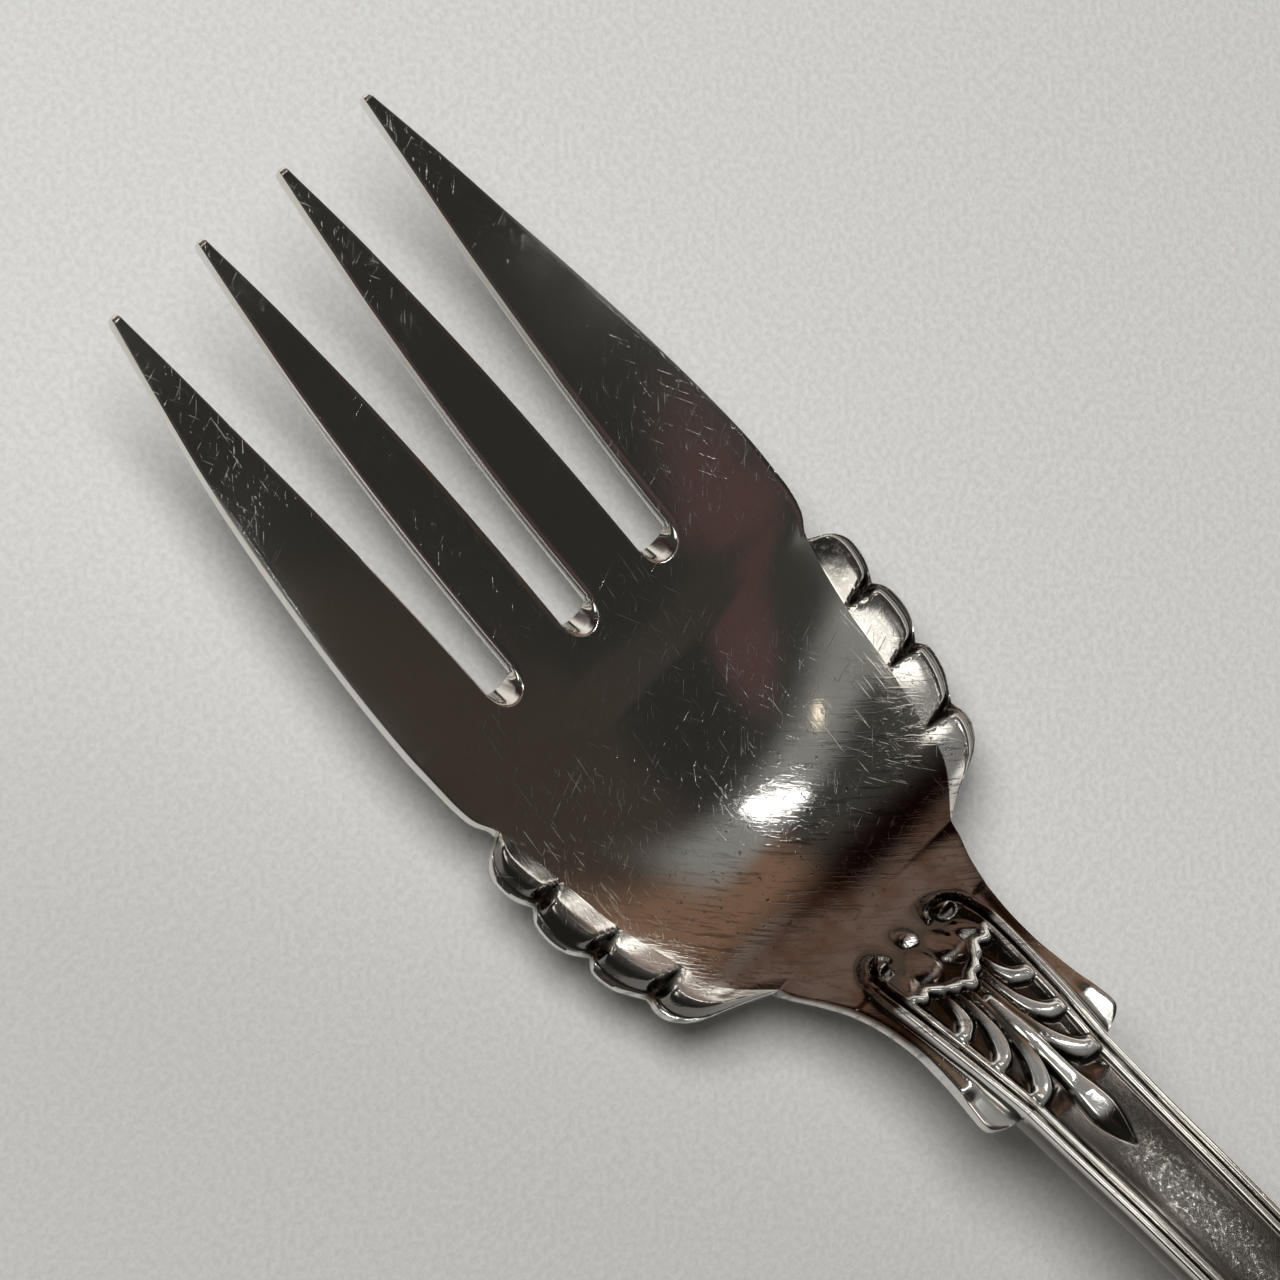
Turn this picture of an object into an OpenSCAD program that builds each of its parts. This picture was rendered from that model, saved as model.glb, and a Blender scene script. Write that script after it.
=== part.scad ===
// Pastry fork with four tines, a dished palm with scalloped sides, and a threaded handle.
// Millimetres. The tines point to +X, the handle runs to -X, and the fork lies on z = 0.
// Stations along the fork are measured as u, the distance from the tips of the tines.

/* [Overall] */
// Length from the tips of the tines to the end of the handle
fork_len = 152; // [140:1:165]
// Height of the top of the handle's arch above the table
arch_h = 10.4; // [9.2:0.1:12]
// Distance from the tips to the point where the scalloped sides run out
head_len = 51.7; // [49.5:0.1:53.5]

/* [Tines] */
// Distance from the tips to the round ends of the slots
slot_len = 29.8; // [27:0.1:31.5]
// Width across the outer tines where the slots end
tines_w = 28.2; // [26.6:0.1:30]
// Distance between the tips of the two outer tines
outer_tips_w = 20.1; // [18.5:0.1:22]
// Distance between the tips of the two inner tines
inner_tips_w = 6.5; // [5.8:0.1:7.2]
// Width of an inner tine at its root
inner_tine_w = 4.1; // [3.6:0.1:4.6]
// Width of each slot at its round end
slot_w = 2.3; // [1.9:0.1:2.7]
// Width of a tine at its blunt tip
tip_w = 0.5; // [0.4:0.05:0.8]
// Thickness of a tine at its tip
tip_t = 0.95; // [0.7:0.05:1.2]
// Thickness of a tine at its root
tine_t = 1.2; // [1:0.05:1.5]
// Width of the eased edges of the tines and the palm
ease = 0.16; // [0.08:0.02:0.24]
// Width of the bevel round the end of each slot
crotch_bevel = 0.45; // [0.3:0.05:0.6]

/* [Bowl] */
// Depth of the palm's hollow below its rim
bowl_depth = 3; // [2.2:0.1:3.6]
// Thickness of the metal in the middle of the palm
bowl_t = 1.5; // [1.2:0.05:1.9]
// Thickness of the metal at the rim of the palm
rim_t = 1.15; // [0.9:0.05:1.4]
// Depth of the flat that wear leaves under the palm
wear = 0.06; // [0.04:0.01:0.1]

/* [Scalloped sides] */
// How far the widest lobe stands out from the palm
lobe_out = 3.1; // [2.5:0.1:3.6]
// Height of a lobe's crown above the edge of the palm
lobe_h = 0.85; // [0.6:0.05:1.1]
// Depth of the grooves between the lobes
groove_d = 0.35; // [0.2:0.05:0.5]
// Height of the thin ledge round the lobes above the edge of the palm
ledge_h = 0.25; // [0.1:0.05:0.4]
// Thickness of the thin ledge round the lobes
ledge_t = 0.75; // [0.55:0.05:0.95]

/* [Neck] */
// Length of the neck, from the scalloped sides to the ends of the shoulders
neck_len = 14.1; // [12.5:0.1:16]
// Width of the neck where it is narrowest
neck_w = 9.75; // [9.3:0.05:10.2]
// Thickness of the neck
neck_t = 2.6; // [2.2:0.1:3.1]
// Width across the shoulders
shoulder_w = 10.7; // [10.4:0.1:11.5]

/* [Stem and threads] */
// Width of the stem
stem_w = 7.1; // [6.6:0.1:7.5]
// Thickness of the stem
stem_t = 2.4; // [2:0.1:2.9]
// Width of the raised bar where it starts in the neck
bar_w = 8.6; // [8:0.1:8.8]
// Height of the raised bar above the neck
bar_h = 0.3; // [0.2:0.05:0.45]
// Height of the two threads above the bar
thread_h = 0.32; // [0.2:0.02:0.45]
// Distance from one thread to the next
thread_gap = 0.72; // [0.6:0.02:0.85]

/* [Palmette] */
// Height of the palmette's leaves above the bar
relief_h = 0.5; // [0.3:0.05:0.7]

/* [Handle end] */
// Length of the wide end of the handle
end_len = 44; // [40:1:48]
// Greatest width of the handle end
end_w = 16; // [14.5:0.1:17.5]
// Thickness of the handle end
end_t = 2; // [1.7:0.1:2.4]

/* [Hidden] */
silver = "#c9c5be";

// Stations along the fork
slot_u = slot_len - slot_w / 2;
palm_len = head_len - slot_u;
notch_u = slot_u + palm_len * 0.267;
side_len = head_len - notch_u;
shoulder_u = head_len + neck_len;
end_u = fork_len - end_len;
stem_len = end_u - shoulder_u;

// Heights: the rim of the palm, and the arch above it
rim_h = bowl_depth + bowl_t - wear;
rise_h = arch_h - rim_h;
foot_h = end_t - wear;

// Shape along the fork, as shares: heights run from the rim (0) to the arch (1)
head_at_share = [0, 0.175, 0.35, 0.525, 0.7, 0.873, 1];
head_rise_share = [0.777, 0.648, 0.51, 0.433, 0.379, 0.324, 0.284];
palm_at_share = [0.12, 0.213, 0.267, 0.46, 0.63, 0.8, 0.926, 1];
palm_rise_share = [0.24, 0.169, 0.115, 0.022, 0.015, 0.042, 0.086, 0.144];
neck_at_share = [0.1, 0.177, 0.255, 0.333, 0.489, 0.645, 0.8, 0.957];
neck_rise_share = [0.23, 0.314, 0.401, 0.474, 0.576, 0.651, 0.706, 0.743];
stem_at_share = [0.1, 0.22, 0.38, 0.573, 0.763, 1];
stem_rise_share = [0.807, 0.895, 0.966, 1, 0.94, 0.74];
end_at_share = [0.25, 0.5, 0.72, 0.89, 1];
end_drop_share = [0.725, 0.414, 0.175, 0.04, 0];

rise_at = concat(
    [for (s = head_at_share) slot_u * s],
    [for (s = palm_at_share) slot_u + palm_len * s],
    [for (s = neck_at_share) head_len + neck_len * s],
    [for (s = stem_at_share) shoulder_u + stem_len * s],
    [for (s = end_at_share) end_u + end_len * s]
);
end_h = rim_h + rise_h * stem_rise_share[len(stem_rise_share) - 1];
rise_z = concat(
    [for (s = concat(head_rise_share, palm_rise_share, neck_rise_share, stem_rise_share)) rim_h + rise_h * s],
    [for (s = end_drop_share) foot_h + (end_h - foot_h) * s]
);

// Depth of the hollow below the rim, as shares of the depth of the palm
dish_head_at_share = [0, 0.35, 0.52, 0.69, 0.86, 1];
dish_palm_at_share = [0.267, 0.466, 0.64, 0.805, 1];
dish_neck_at_share = [0.177, 0.333, 0.489, 0.8];
dish_share = [0, 0.04, 0.17, 0.36, 0.54, 0.68, 0.87, 0.93, 1, 0.94, 0.56, 0.24, 0.08, 0.01, 0, 0];
dish_at = concat(
    [for (s = dish_head_at_share) slot_u * s],
    [for (s = dish_palm_at_share) slot_u + palm_len * s],
    [for (s = dish_neck_at_share) head_len + neck_len * s],
    [fork_len]
);

// Thickness of the metal along the middle of the fork
thick_at = [
    0, slot_u, slot_u + palm_len * 0.5, head_len, head_len + neck_len * 0.5,
    shoulder_u + stem_len * 0.3, end_u + end_len * 0.3, fork_len
];
thick_mid = [tip_t, tine_t, bowl_t, (bowl_t + neck_t) / 2, neck_t, stem_t, (stem_t + end_t) / 2, end_t];

// Thickness of the metal at its edges, as shares of the thickness in the middle
edge_at = [slot_u, slot_u + palm_len * 0.3, head_len - palm_len * 0.3, head_len, shoulder_u, fork_len];
edge_share = [1, rim_t / bowl_t, rim_t / bowl_t, 0.62, 0.52, 0.55];

// Half width of the palm, neck, stem and handle end
palm_w_at_share = [0, 0.09, 0.155, 0.213, 0.267, 0.463, 0.633, 0.8, 0.845, 0.893, 0.94, 0.985, 1];
palm_w_share = [1, 0.995, 0.988, 0.966, 0.912, 0.846, 0.804, 0.727, 0.715, 0.678, 0.615, 0.54, 0.515];
neck_w_at_share = [0, 0.06, 0.137, 0.177, 0.255, 0.333, 0.411, 0.489, 0.567, 0.645, 0.723, 0.8, 0.879, 0.92, 0.957, 0.985, 1];
neck_in_share = [1, 0.88, 0.61, 0.49, 0.29, 0.16, 0.07, 0.02, 0];
neck_out_share = [0.12, 0.31, 0.59, 0.9, 1, 0.68, -0.5, -1.7];
bar_at_share = [0, 0.142, 0.213, 0.255, 0.333, 0.489, 0.645, 0.8, 0.957, 1];
bar_w_share = [0.1, 0.35, 0.75, 0.89, 1, 0.84, 0.61, 0.36, 0.08, 0];
stem_w_at_share = [0, 0.2, 0.55, 0.8, 1];
stem_w_share = [1, 0.955, 0.93, 1, 1.22];
end_along_share = [0, 0.06, 0.105, 0.135, 0.17, 0.23, 0.32, 0.44, 0.57, 0.7, 0.81, 0.9, 0.965, 1, 0.965];
end_wide_share = [0.56, 0.62, 0.72, 0.795, 0.765, 0.745, 0.785, 0.865, 0.945, 1, 0.975, 0.83, 0.5, 0, -0.5];

tines_half = tines_w / 2;
slot_half = slot_w / 2;
inner_mid = slot_half + inner_tine_w / 2;
side_slot_mid = slot_half + inner_tine_w + slot_half;
palm_half = tines_half * palm_w_share[len(palm_w_share) - 1];
step = ease;

// How quickly each edge of a tine swells from the tip, outer edge first
outer_flare = [1.62, 1.45];
inner_flare = [2.3, 2.15];

// Outline of the lobes, four of them from the tines to the neck, as shares of lobe_out
lobe_start_share = [0, 0.254, 0.497, 0.725, 1];
lobe_at_share = [0, 0.15, 0.35, 0.6, 0.8, 1];
lobe_edge_share = [
    [0.03, 0.47, 0.75, 0.84, 0.81, 0.7],
    [0.7, 0.9, 0.99, 1, 0.92, 0.75],
    [0.75, 0.94, 1.01, 1.01, 0.93, 0.83],
    [0.83, 0.91, 0.95, 0.82, 0.36, 0.03]
];
ledge_share = [0.8, 0.8, 0.1, -1.5, -1];
lobe_rows = 9;
across_share = [0, 0.12, 0.28, 0.48, 0.68, 0.82, 0.91, 1];
crown_share = [0, 0.45, 0.86, 1, 0.9, 0.62, 0.3, 0];

// Palmette: place along the neck, place across the bar, length, width, turn, height
palmette_share = [
    [0.216, 0, 0.035, 0.15, 0, 0.8],
    [0.227, 0.6, 0.055, 0.2, 0, 0.75],
    [0.34, 0.34, 0.085, 0.3, 0, 0.85],
    [0.405, 0.56, 0.06, 0.09, -62, 0.95],
    [0.47, 0.22, 0.075, 0.09, -54, 0.95],
    [0.665, 0.55, 0.075, 0.12, 56, 0.95],
    [0.8, 0.43, 0.09, 0.13, 41, 1],
    [0.945, 0.37, 0.11, 0.14, 27, 1],
    [0.72, 0.08, 0.2, 0.08, 0, 0.6],
    [0.72, 0.24, 0.16, 0.07, 4, 0.6],
    [1.21, 0, 0.19, 0.18, 0, 0.95]
];

// A smooth curve through the places xs and the values ys
function spot(x, xs, i = 0) = i >= len(xs) - 2 || x < xs[i + 1] ? i : spot(x, xs, i + 1);
function lean(xs, ys, i) =
    let (a = max(i - 1, 0), b = min(i + 1, len(xs) - 1))
    (ys[b] - ys[a]) / (xs[b] - xs[a]);
function curve(x, xs, ys) =
    let (
        i = spot(x, xs),
        h = xs[i + 1] - xs[i],
        t = (x - xs[i]) / h,
        p = t * t * (3 - 2 * t),
        m0 = lean(xs, ys, i) * h,
        m1 = lean(xs, ys, i + 1) * h
    )
    ys[i] + (ys[i + 1] - ys[i]) * p + m0 * t * (1 - t) * (1 - t) - m1 * t * t * (1 - t);
function mix(a, b, t) = a + (b - a) * t;
function ramp(x, a, b) = let (t = max(0, min(1, (x - a) / (b - a)))) t * t * (3 - 2 * t);
function flare(t, p) = 1 - pow(1 - t, p);

// Edges of the outer and inner tines: the side away from the middle, then the side towards it
function outer_tine(u) =
    let (t = u / slot_u)
    [
        mix((outer_tips_w + tip_w) / 2, tines_half, flare(t, outer_flare[0])),
        mix((outer_tips_w - tip_w) / 2, side_slot_mid + slot_half, flare(t, outer_flare[1]))
    ];
function inner_tine(u) =
    let (t = u / slot_u)
    [
        mix((inner_tips_w + tip_w) / 2, slot_half + inner_tine_w, flare(t, inner_flare[0])),
        mix((inner_tips_w - tip_w) / 2, slot_half, flare(t, inner_flare[1]))
    ];

// Half width of the fork at a station
function neck_half(t) =
    let (
        inward = [for (s = neck_in_share) neck_w / 2 + (palm_half - neck_w / 2) * s],
        outward = [for (s = neck_out_share) neck_w / 2 + (shoulder_w / 2 - neck_w / 2) * s]
    )
    curve(t, neck_w_at_share, concat(inward, outward));
function bar_half(u) =
    let (t = (u - head_len) / neck_len)
    stem_w / 2 + (bar_w - stem_w) / 2 * (t >= 1 ? 0 : curve(t, bar_at_share, bar_w_share));
function stem_half(u) = stem_w / 2 * curve((u - shoulder_u) / stem_len, stem_w_at_share, stem_w_share);
function half_at(u) =
    u <= slot_u ? outer_tine(u)[0]
    : u <= head_len ? tines_half * curve((u - slot_u) / palm_len, palm_w_at_share, palm_w_share)
    : u <= shoulder_u ? neck_half((u - head_len) / neck_len)
    : u <= end_u ? stem_half(u) + step
    : end_w / 2;

// Upper face of the blank, and the face under it
function face(u, w) =
    let (s = min(1, abs(w) / half_at(u)))
    curve(u, rise_at, rise_z) - bowl_depth * max(0, curve(u, dish_at, dish_share)) * (1 - s * s);
function tilt(u, w) =
    let (d = slot_half)
    (face(min(u + d, fork_len), w) - face(max(u - d, 0), w)) / (2 * d);
function thick(u, w) =
    let (
        mid = curve(u, thick_at, thick_mid),
        rim = u < slot_u ? mid : mid * curve(u, edge_at, edge_share)
    )
    mix(mid, rim, pow(min(1, abs(w) / half_at(u)), 3)) * sqrt(1 + pow(tilt(u, w), 2));
function under(u, w) = max(0, face(u, w) - thick(u, w));

// Heights of bar, threads and palmette above the face
function pad(u, w, p) =
    let (
        du = u - (head_len + neck_len * p[0]),
        dw = w - bar_w / 2 * p[1],
        a = du * cos(p[4]) + dw * sin(p[4]),
        b = dw * cos(p[4]) - du * sin(p[4]),
        q = 1 - pow(a / (neck_len * p[2]), 2) - pow(b / (bar_w / 2 * p[3]), 2)
    )
    q > 0 ? p[5] * sqrt(q) : 0;
function palmette(u, w) =
    u > head_len + neck_len * 1.32 ? 0
    : relief_h * max([for (p = palmette_share) pad(u, abs(w), p)]);
function bar_on(u) =
    let (t = (u - head_len) / neck_len)
    ramp(t, 0.12, 0.2) * (1.45 - 0.45 * ramp(t, 0.2, 0.45));

// Closed solid between an upper grid of points and a lower one. With fold set, the last
// row is folded together at the middle line, which closes a rounded end.
module loft(top, low, fold = false) {
    rows = len(top);
    cols = len(top[0]);
    size = rows * cols;
    mid = (cols - 1) / 2;
    function at(i, j) = i * cols + (fold && i == rows - 1 ? max(j, cols - 1 - j) : j);
    function up(a, b, c, d, j) = j < mid ? [[a, c, b], [a, d, c]] : [[a, d, b], [b, d, c]];
    function down(a, b, c, d, j) = j < mid ? [[a, b, c], [a, c, d]] : [[a, b, d], [b, c, d]];
    grid = [for (i = [0 : rows - 2], j = [0 : cols - 2]) [at(i, j), at(i, j + 1), at(i + 1, j + 1), at(i + 1, j), j]];
    upper = [for (g = grid) each up(g[0], g[1], g[2], g[3], g[4])];
    lower = [for (g = grid) each down(g[0] + size, g[1] + size, g[2] + size, g[3] + size, g[4])];
    front = [for (j = [0 : cols - 2]) each [
        [j, j + 1, j + 1 + size],
        [j, j + 1 + size, j + size]
    ]];
    back = fold ? [] : [for (j = [0 : cols - 2]) let (a = at(rows - 1, j)) each [
        [a + 1, a, a + size],
        [a + 1, a + size, a + 1 + size]
    ]];
    sides = [for (i = [0 : rows - 2]) let (
        a = at(i, 0),
        d = at(i + 1, 0),
        b = at(i, cols - 1),
        c = at(i + 1, cols - 1)
    ) each [
        [a, a + size, d + size],
        [a, d + size, d],
        [b, c, c + size],
        [b, c + size, b + size]
    ]];
    points = concat([for (r = top) each r], [for (r = low) each r]);
    polyhedron(points, concat(upper, lower, front, back, sides), convexity = 8);
}
function place(u, w, z) = [fork_len / 2 - u, w, z];

// Tine: rows from the blunt tip to the root, with eased edges above and below
tine_row_share = concat([0, 0.004, 0.012], [for (i = [1 : 14]) pow(i / 14, 1.35) * 0.988 + 0.012]);
tine_nose_share = [0.4, 0.82, 1];
module tine(edges) {
    rows = [for (i = [0 : len(tine_row_share) - 1]) let (
        u = slot_u * tine_row_share[i],
        e = edges[i],
        mid = (e[0] + e[1]) / 2,
        half = (e[0] - e[1]) / 2 * (i < 3 ? tine_nose_share[i] : 1),
        c = min(ease, half * 0.4)
    ) [for (k = [[-half, c], [-half + c, 0], [0, 0], [half - c, 0], [half, c]]) [u, mid + k[0], k[1]]]];
    loft(
        [for (r = rows) [for (p = r) place(p[0], p[1], face(p[0], p[1]) - p[2])]],
        [for (r = rows) [for (p = r) place(p[0], p[1], under(p[0], p[1]) + p[2])]]
    );
}
module tine_outer_left() color(silver) tine([for (s = tine_row_share) outer_tine(slot_u * s)]);
module tine_inner_left() color(silver) tine([for (s = tine_row_share) inner_tine(slot_u * s)]);
module tine_inner_right() mirror([0, 1, 0]) tine_inner_left();
module tine_outer_right() mirror([0, 1, 0]) tine_outer_left();

// Palm: columns follow the slots, rows bend round the slot ends and then run straight
slot_turns = [-60, -30, 0, 30, 60];
half_columns = concat(
    [slot_half * sin(30), slot_half * sin(60), slot_half, slot_half + ease],
    [inner_mid, slot_half + inner_tine_w - ease, slot_half + inner_tine_w],
    [for (a = slot_turns) side_slot_mid + slot_half * sin(a)],
    [side_slot_mid + slot_half, side_slot_mid + slot_half + ease],
    [for (s = [0.33, 0.67]) mix(side_slot_mid + slot_half, tines_half, s)],
    [tines_half - ease, tines_half]
);
last = len(half_columns) - 1;
palm_columns = concat([for (i = [last : -1 : 0]) -half_columns[i]], [0], half_columns);
side_rows = 12;
side_at = [for (i = [0 : side_rows]) let (k = min(floor(i / 3), 3))
    notch_u + side_len * mix(lobe_start_share[k], lobe_start_share[k + 1], i / 3 - k)];
front_share = [0.1, 0.155, 0.2, 0.235];
palm_rows = concat([for (s = front_share) slot_u + palm_len * s], side_at);
function slot_off(w) = min(abs(w), abs(abs(w) - side_slot_mid));
function bite(w, r) = let (d = slot_off(w)) d < r ? sqrt(r * r - d * d) : 0;
function edge_drop(u, w) = u < notch_u && abs(w) > half_at(u) - ease / 2 ? ease : 0;
module palm() {
    first = [for (w = palm_columns) let (
        u = slot_u + bite(w, slot_half),
        drop = slot_off(w) <= slot_half + ease / 2 ? mix(ease, crotch_bevel, bite(w, slot_half) / slot_half) : edge_drop(u, w)
    ) place(u, w, face(u, w) - drop)];
    second = [for (w = palm_columns) let (u = slot_u + max(bite(w, slot_half + crotch_bevel), slot_w / 4))
        place(u, w, face(u, w) - edge_drop(u, w))];
    first_low = [for (w = palm_columns) let (u = slot_u + bite(w, slot_half) * 0.3)
        place(u, w, under(u, w) + (slot_off(w) <= slot_half + ease / 2 ? ease : edge_drop(u, w)))];
    second_low = [for (w = palm_columns) let (u = slot_u + max(bite(w, slot_half + crotch_bevel), slot_w / 4))
        place(u, w, under(u, w) + edge_drop(u, w))];
    function spread(u) = [for (w = palm_columns) w / tines_half * half_at(u)];
    color(silver) loft(
        concat([first, second], [for (u = palm_rows) [for (w = spread(u)) place(u, w, face(u, w) - edge_drop(u, w))]]),
        concat([first_low, second_low], [for (u = palm_rows) [for (w = spread(u)) place(u, w, under(u, w) + edge_drop(u, w))]])
    );
}

// Scalloped side: each row starts on the straight edge between two rows of the palm
function side_spot(s) =
    let (
        q = s * side_rows / 4,
        i = min(floor(q), side_rows - 1),
        a = side_at[i],
        b = side_at[i + 1],
        t = q - i
    )
    [
        mix(a, b, t), mix(half_at(a), half_at(b), t),
        mix(face(a, half_at(a)), face(b, half_at(b)), t),
        mix(under(a, half_at(a)), under(b, half_at(b)), t)
    ];
module scallops_left() {
    rows = [for (k = [0 : 4 * lobe_rows]) let (
        s = k / lobe_rows,
        lobe = min(floor(s), 3),
        t = s - lobe,
        p = side_spot(s),
        out = lobe_out * curve(t, lobe_at_share, lobe_edge_share[lobe]),
        swell = pow(max(0, 1 - pow(abs(2 * t - 1), 2.6)), 0.6),
        fade = min(1, out / (lobe_out * 0.5)),
        lift = fade * ledge_h * mix(ledge_share[lobe], ledge_share[lobe + 1], t)
    ) [p, out, swell, fade, lift]];
    function top_z(r, i) =
        let (x = across_share[i], crown = crown_share[i] * lobe_h, groove = -groove_d * sin(180 * x))
        r[0][2] + r[4] * x + r[3] * mix(groove, crown, r[2]);
    function low_z(r, i) =
        let (x = across_share[i], edge_t = r[0][2] - r[0][3])
        mix(r[0][3], r[0][2] + r[4] - mix(edge_t, ledge_t, r[3]), x);
    n = len(across_share) - 1;
    color(silver) loft(
        [for (r = rows) [for (i = [0 : n]) place(r[0][0], r[0][1] + r[1] * across_share[i], top_z(r, i))]],
        [for (r = rows) [for (i = [0 : n]) place(r[0][0], r[0][1] + r[1] * across_share[i], low_z(r, i))]]
    );
}
module scallops_right() mirror([0, 1, 0]) scallops_left();

// One row across the neck or stem: blank, step up to the bar, two threads, and the field
field_share = [0.86, 0.62, 0.4, 0.2];
function row_half(u, half, bar) =
    let (
        on = bar_on(u),
        c = min(ease, (half - bar) * 0.4),
        foot = mix(bar, half - c, 0.2),
        edge = bar - thread_gap * 0.42,
        field = edge - thread_gap * 1.75
    )
    [
        [half, -c], [half - c, 0], [foot, 0], [bar, bar_h * on * 0.6],
        [edge, (bar_h + thread_h) * on], [edge - thread_gap * 0.5, bar_h * on * 0.8],
        [edge - thread_gap, (bar_h + thread_h) * on], [field, bar_h * on],
        for (s = field_share) [field * s, bar_h * on + palmette(u, field * s)]
    ];
function row_full(u, half, bar) =
    let (h = row_half(u, half, bar), n = len(h) - 1)
    concat(
        [for (i = [0 : n]) [-h[i][0], h[i][1]]],
        [[0, bar_h * bar_on(u) + palmette(u, 0)]],
        [for (i = [n : -1 : 0]) h[i]]
    );
module strip(us, halves, bars) {
    rows = [for (i = [0 : len(us) - 1]) row_full(us[i], halves[i], bars[i])];
    n = len(rows[0]) - 1;
    loft(
        [for (i = [0 : len(us) - 1]) [for (p = rows[i]) place(us[i], p[0], face(us[i], p[0]) + p[1])]],
        [for (i = [0 : len(us) - 1]) [for (j = [0 : n]) let (p = rows[i][j])
            place(us[i], p[0], under(us[i], p[0]) + (j == 0 || j == n ? ease : 0))]]
    );
}

// Neck: from the scallops to the ends of the shoulders
neck_rows = concat([for (i = [0 : 26]) head_len + neck_len * 0.93 * i / 26], [for (s = [0.955, 0.975, 0.99, 1]) head_len + neck_len * s]);
module neck() color(silver) strip(
    neck_rows,
    [for (u = neck_rows) max(neck_half((u - head_len) / neck_len), bar_half(u) + step)],
    [for (u = neck_rows) bar_half(u)]
);

// Stem: the threaded bar, with the point of the palmette on it
stem_rows = concat(
    [for (i = [0 : 8]) shoulder_u + neck_len * 0.33 * i / 8],
    [for (i = [1 : 11]) mix(shoulder_u + neck_len * 0.33, end_u, i / 11)]
);
module stem() color(silver) strip(
    stem_rows,
    [for (u = stem_rows) stem_half(u) + step],
    [for (u = stem_rows) stem_half(u)]
);

// Handle end: nested outlines, each a little inside the one before, folded at the middle
end_rows = 26;
function end_spot(q) =
    let (
        n = len(end_along_share) - 1,
        base = stem_half(end_u) + step,
        k = [for (i = [0 : n]) i],
        wide = [for (i = [0 : n]) i == 0 ? base : end_w / 2 * end_wide_share[i]]
    )
    [end_u + end_len * curve(q * (n - 1), k, end_along_share), q >= 1 ? 0 : curve(q * (n - 1), k, wide)];
function end_inset(i, d) =
    let (
        q = i / end_rows,
        p = end_spot(q),
        t = end_spot(min(q + 0.01, 1)) - end_spot(max(q - 0.01, 0)),
        way = i == 0 ? [0, -1] : i == end_rows ? [-1, 0] : [t[1], -t[0]] / norm(t)
    )
    p + way * d;
end_levels = [
    [0, -ease], [ease, 0], [ease + step, bar_h * 0.6],
    [thread_gap * 0.8, bar_h + thread_h], [thread_gap * 1.3, bar_h * 0.8],
    [thread_gap * 1.8, bar_h + thread_h], [thread_gap * 2.55, bar_h]
];
module handle_end() {
    inner = len(end_levels) - 1;
    function half_row(i) = concat(
        [for (l = end_levels) let (p = end_inset(i, l[0])) [p[0], max(p[1], 0), l[1]]],
        [for (s = [0.5, 0]) let (p = end_inset(i, end_levels[inner][0] + thread_gap * (0.5 - s) * i / end_rows))
            [p[0], max(p[1], 0) * s, end_levels[inner][1]]]
    );
    rows = [for (i = [0 : end_rows]) let (h = half_row(i), n = len(h) - 1) concat(
        [for (k = [0 : n]) [h[k][0], -h[k][1], h[k][2], k]],
        [for (k = [n - 1 : -1 : 0]) [h[k][0], h[k][1], h[k][2], k]]
    )];
    color(silver) loft(
        [for (r = rows) [for (p = r) place(p[0], p[1], face(p[0], p[1]) + p[2])]],
        [for (r = rows) [for (p = r) place(p[0], p[1], under(p[0], p[1]) + (p[3] == 0 ? ease : 0))]],
        fold = true
    );
}

tine_outer_left();
tine_inner_left();
tine_inner_right();
tine_outer_right();
palm();
scallops_left();
scallops_right();
neck();
stem();
handle_end();
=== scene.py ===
import math

import bpy
import numpy as np
from mathutils import Matrix, Vector


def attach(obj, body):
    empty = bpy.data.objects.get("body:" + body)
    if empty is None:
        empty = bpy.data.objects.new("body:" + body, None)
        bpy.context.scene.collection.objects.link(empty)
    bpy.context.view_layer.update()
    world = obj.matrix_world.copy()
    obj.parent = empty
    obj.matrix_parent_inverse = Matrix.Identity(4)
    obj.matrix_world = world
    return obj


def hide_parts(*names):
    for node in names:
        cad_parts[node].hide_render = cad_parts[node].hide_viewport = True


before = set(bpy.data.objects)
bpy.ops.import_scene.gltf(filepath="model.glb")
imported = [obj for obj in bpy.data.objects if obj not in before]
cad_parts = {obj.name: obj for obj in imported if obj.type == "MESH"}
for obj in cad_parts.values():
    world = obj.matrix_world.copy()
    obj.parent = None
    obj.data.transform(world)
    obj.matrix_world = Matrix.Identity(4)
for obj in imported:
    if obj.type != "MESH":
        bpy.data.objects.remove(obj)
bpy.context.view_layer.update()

MM = 0.001

# Camera: the photograph looks down at 24 degrees from upright, from the left of the fork
TILT = math.radians(24)
TURN = math.radians(46.59)
AIM = Vector((43.53, 0, 7.7)) * MM
LAMP_AIM = Vector((35, 0, 5)) * MM
DISTANCE = 400 * MM
VIEW_WIDTH = 70.4 * MM
SENSOR_WIDTH = 36


def place_camera():
    """Camera over the head of the fork, turned so that the fork crosses the picture as in the photograph."""
    back = Vector((0, math.sin(TILT), math.cos(TILT)))
    right = Vector((-1, 0, 0))
    up = back.cross(right)
    turned = Matrix((right, up, back)).transposed().to_4x4() @ Matrix.Rotation(TURN, 4, "Z")
    data = bpy.data.cameras.new("camera")
    data.sensor_width = SENSOR_WIDTH
    data.sensor_fit = "HORIZONTAL"
    data.lens = SENSOR_WIDTH * DISTANCE / VIEW_WIDTH
    data.clip_start = 0.01
    data.clip_end = 20
    camera = bpy.data.objects.new("camera", data)
    camera.matrix_world = Matrix.Translation(AIM + back * DISTANCE) @ turned
    bpy.context.scene.collection.objects.link(camera)
    bpy.context.scene.camera = camera


place_camera()

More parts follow.
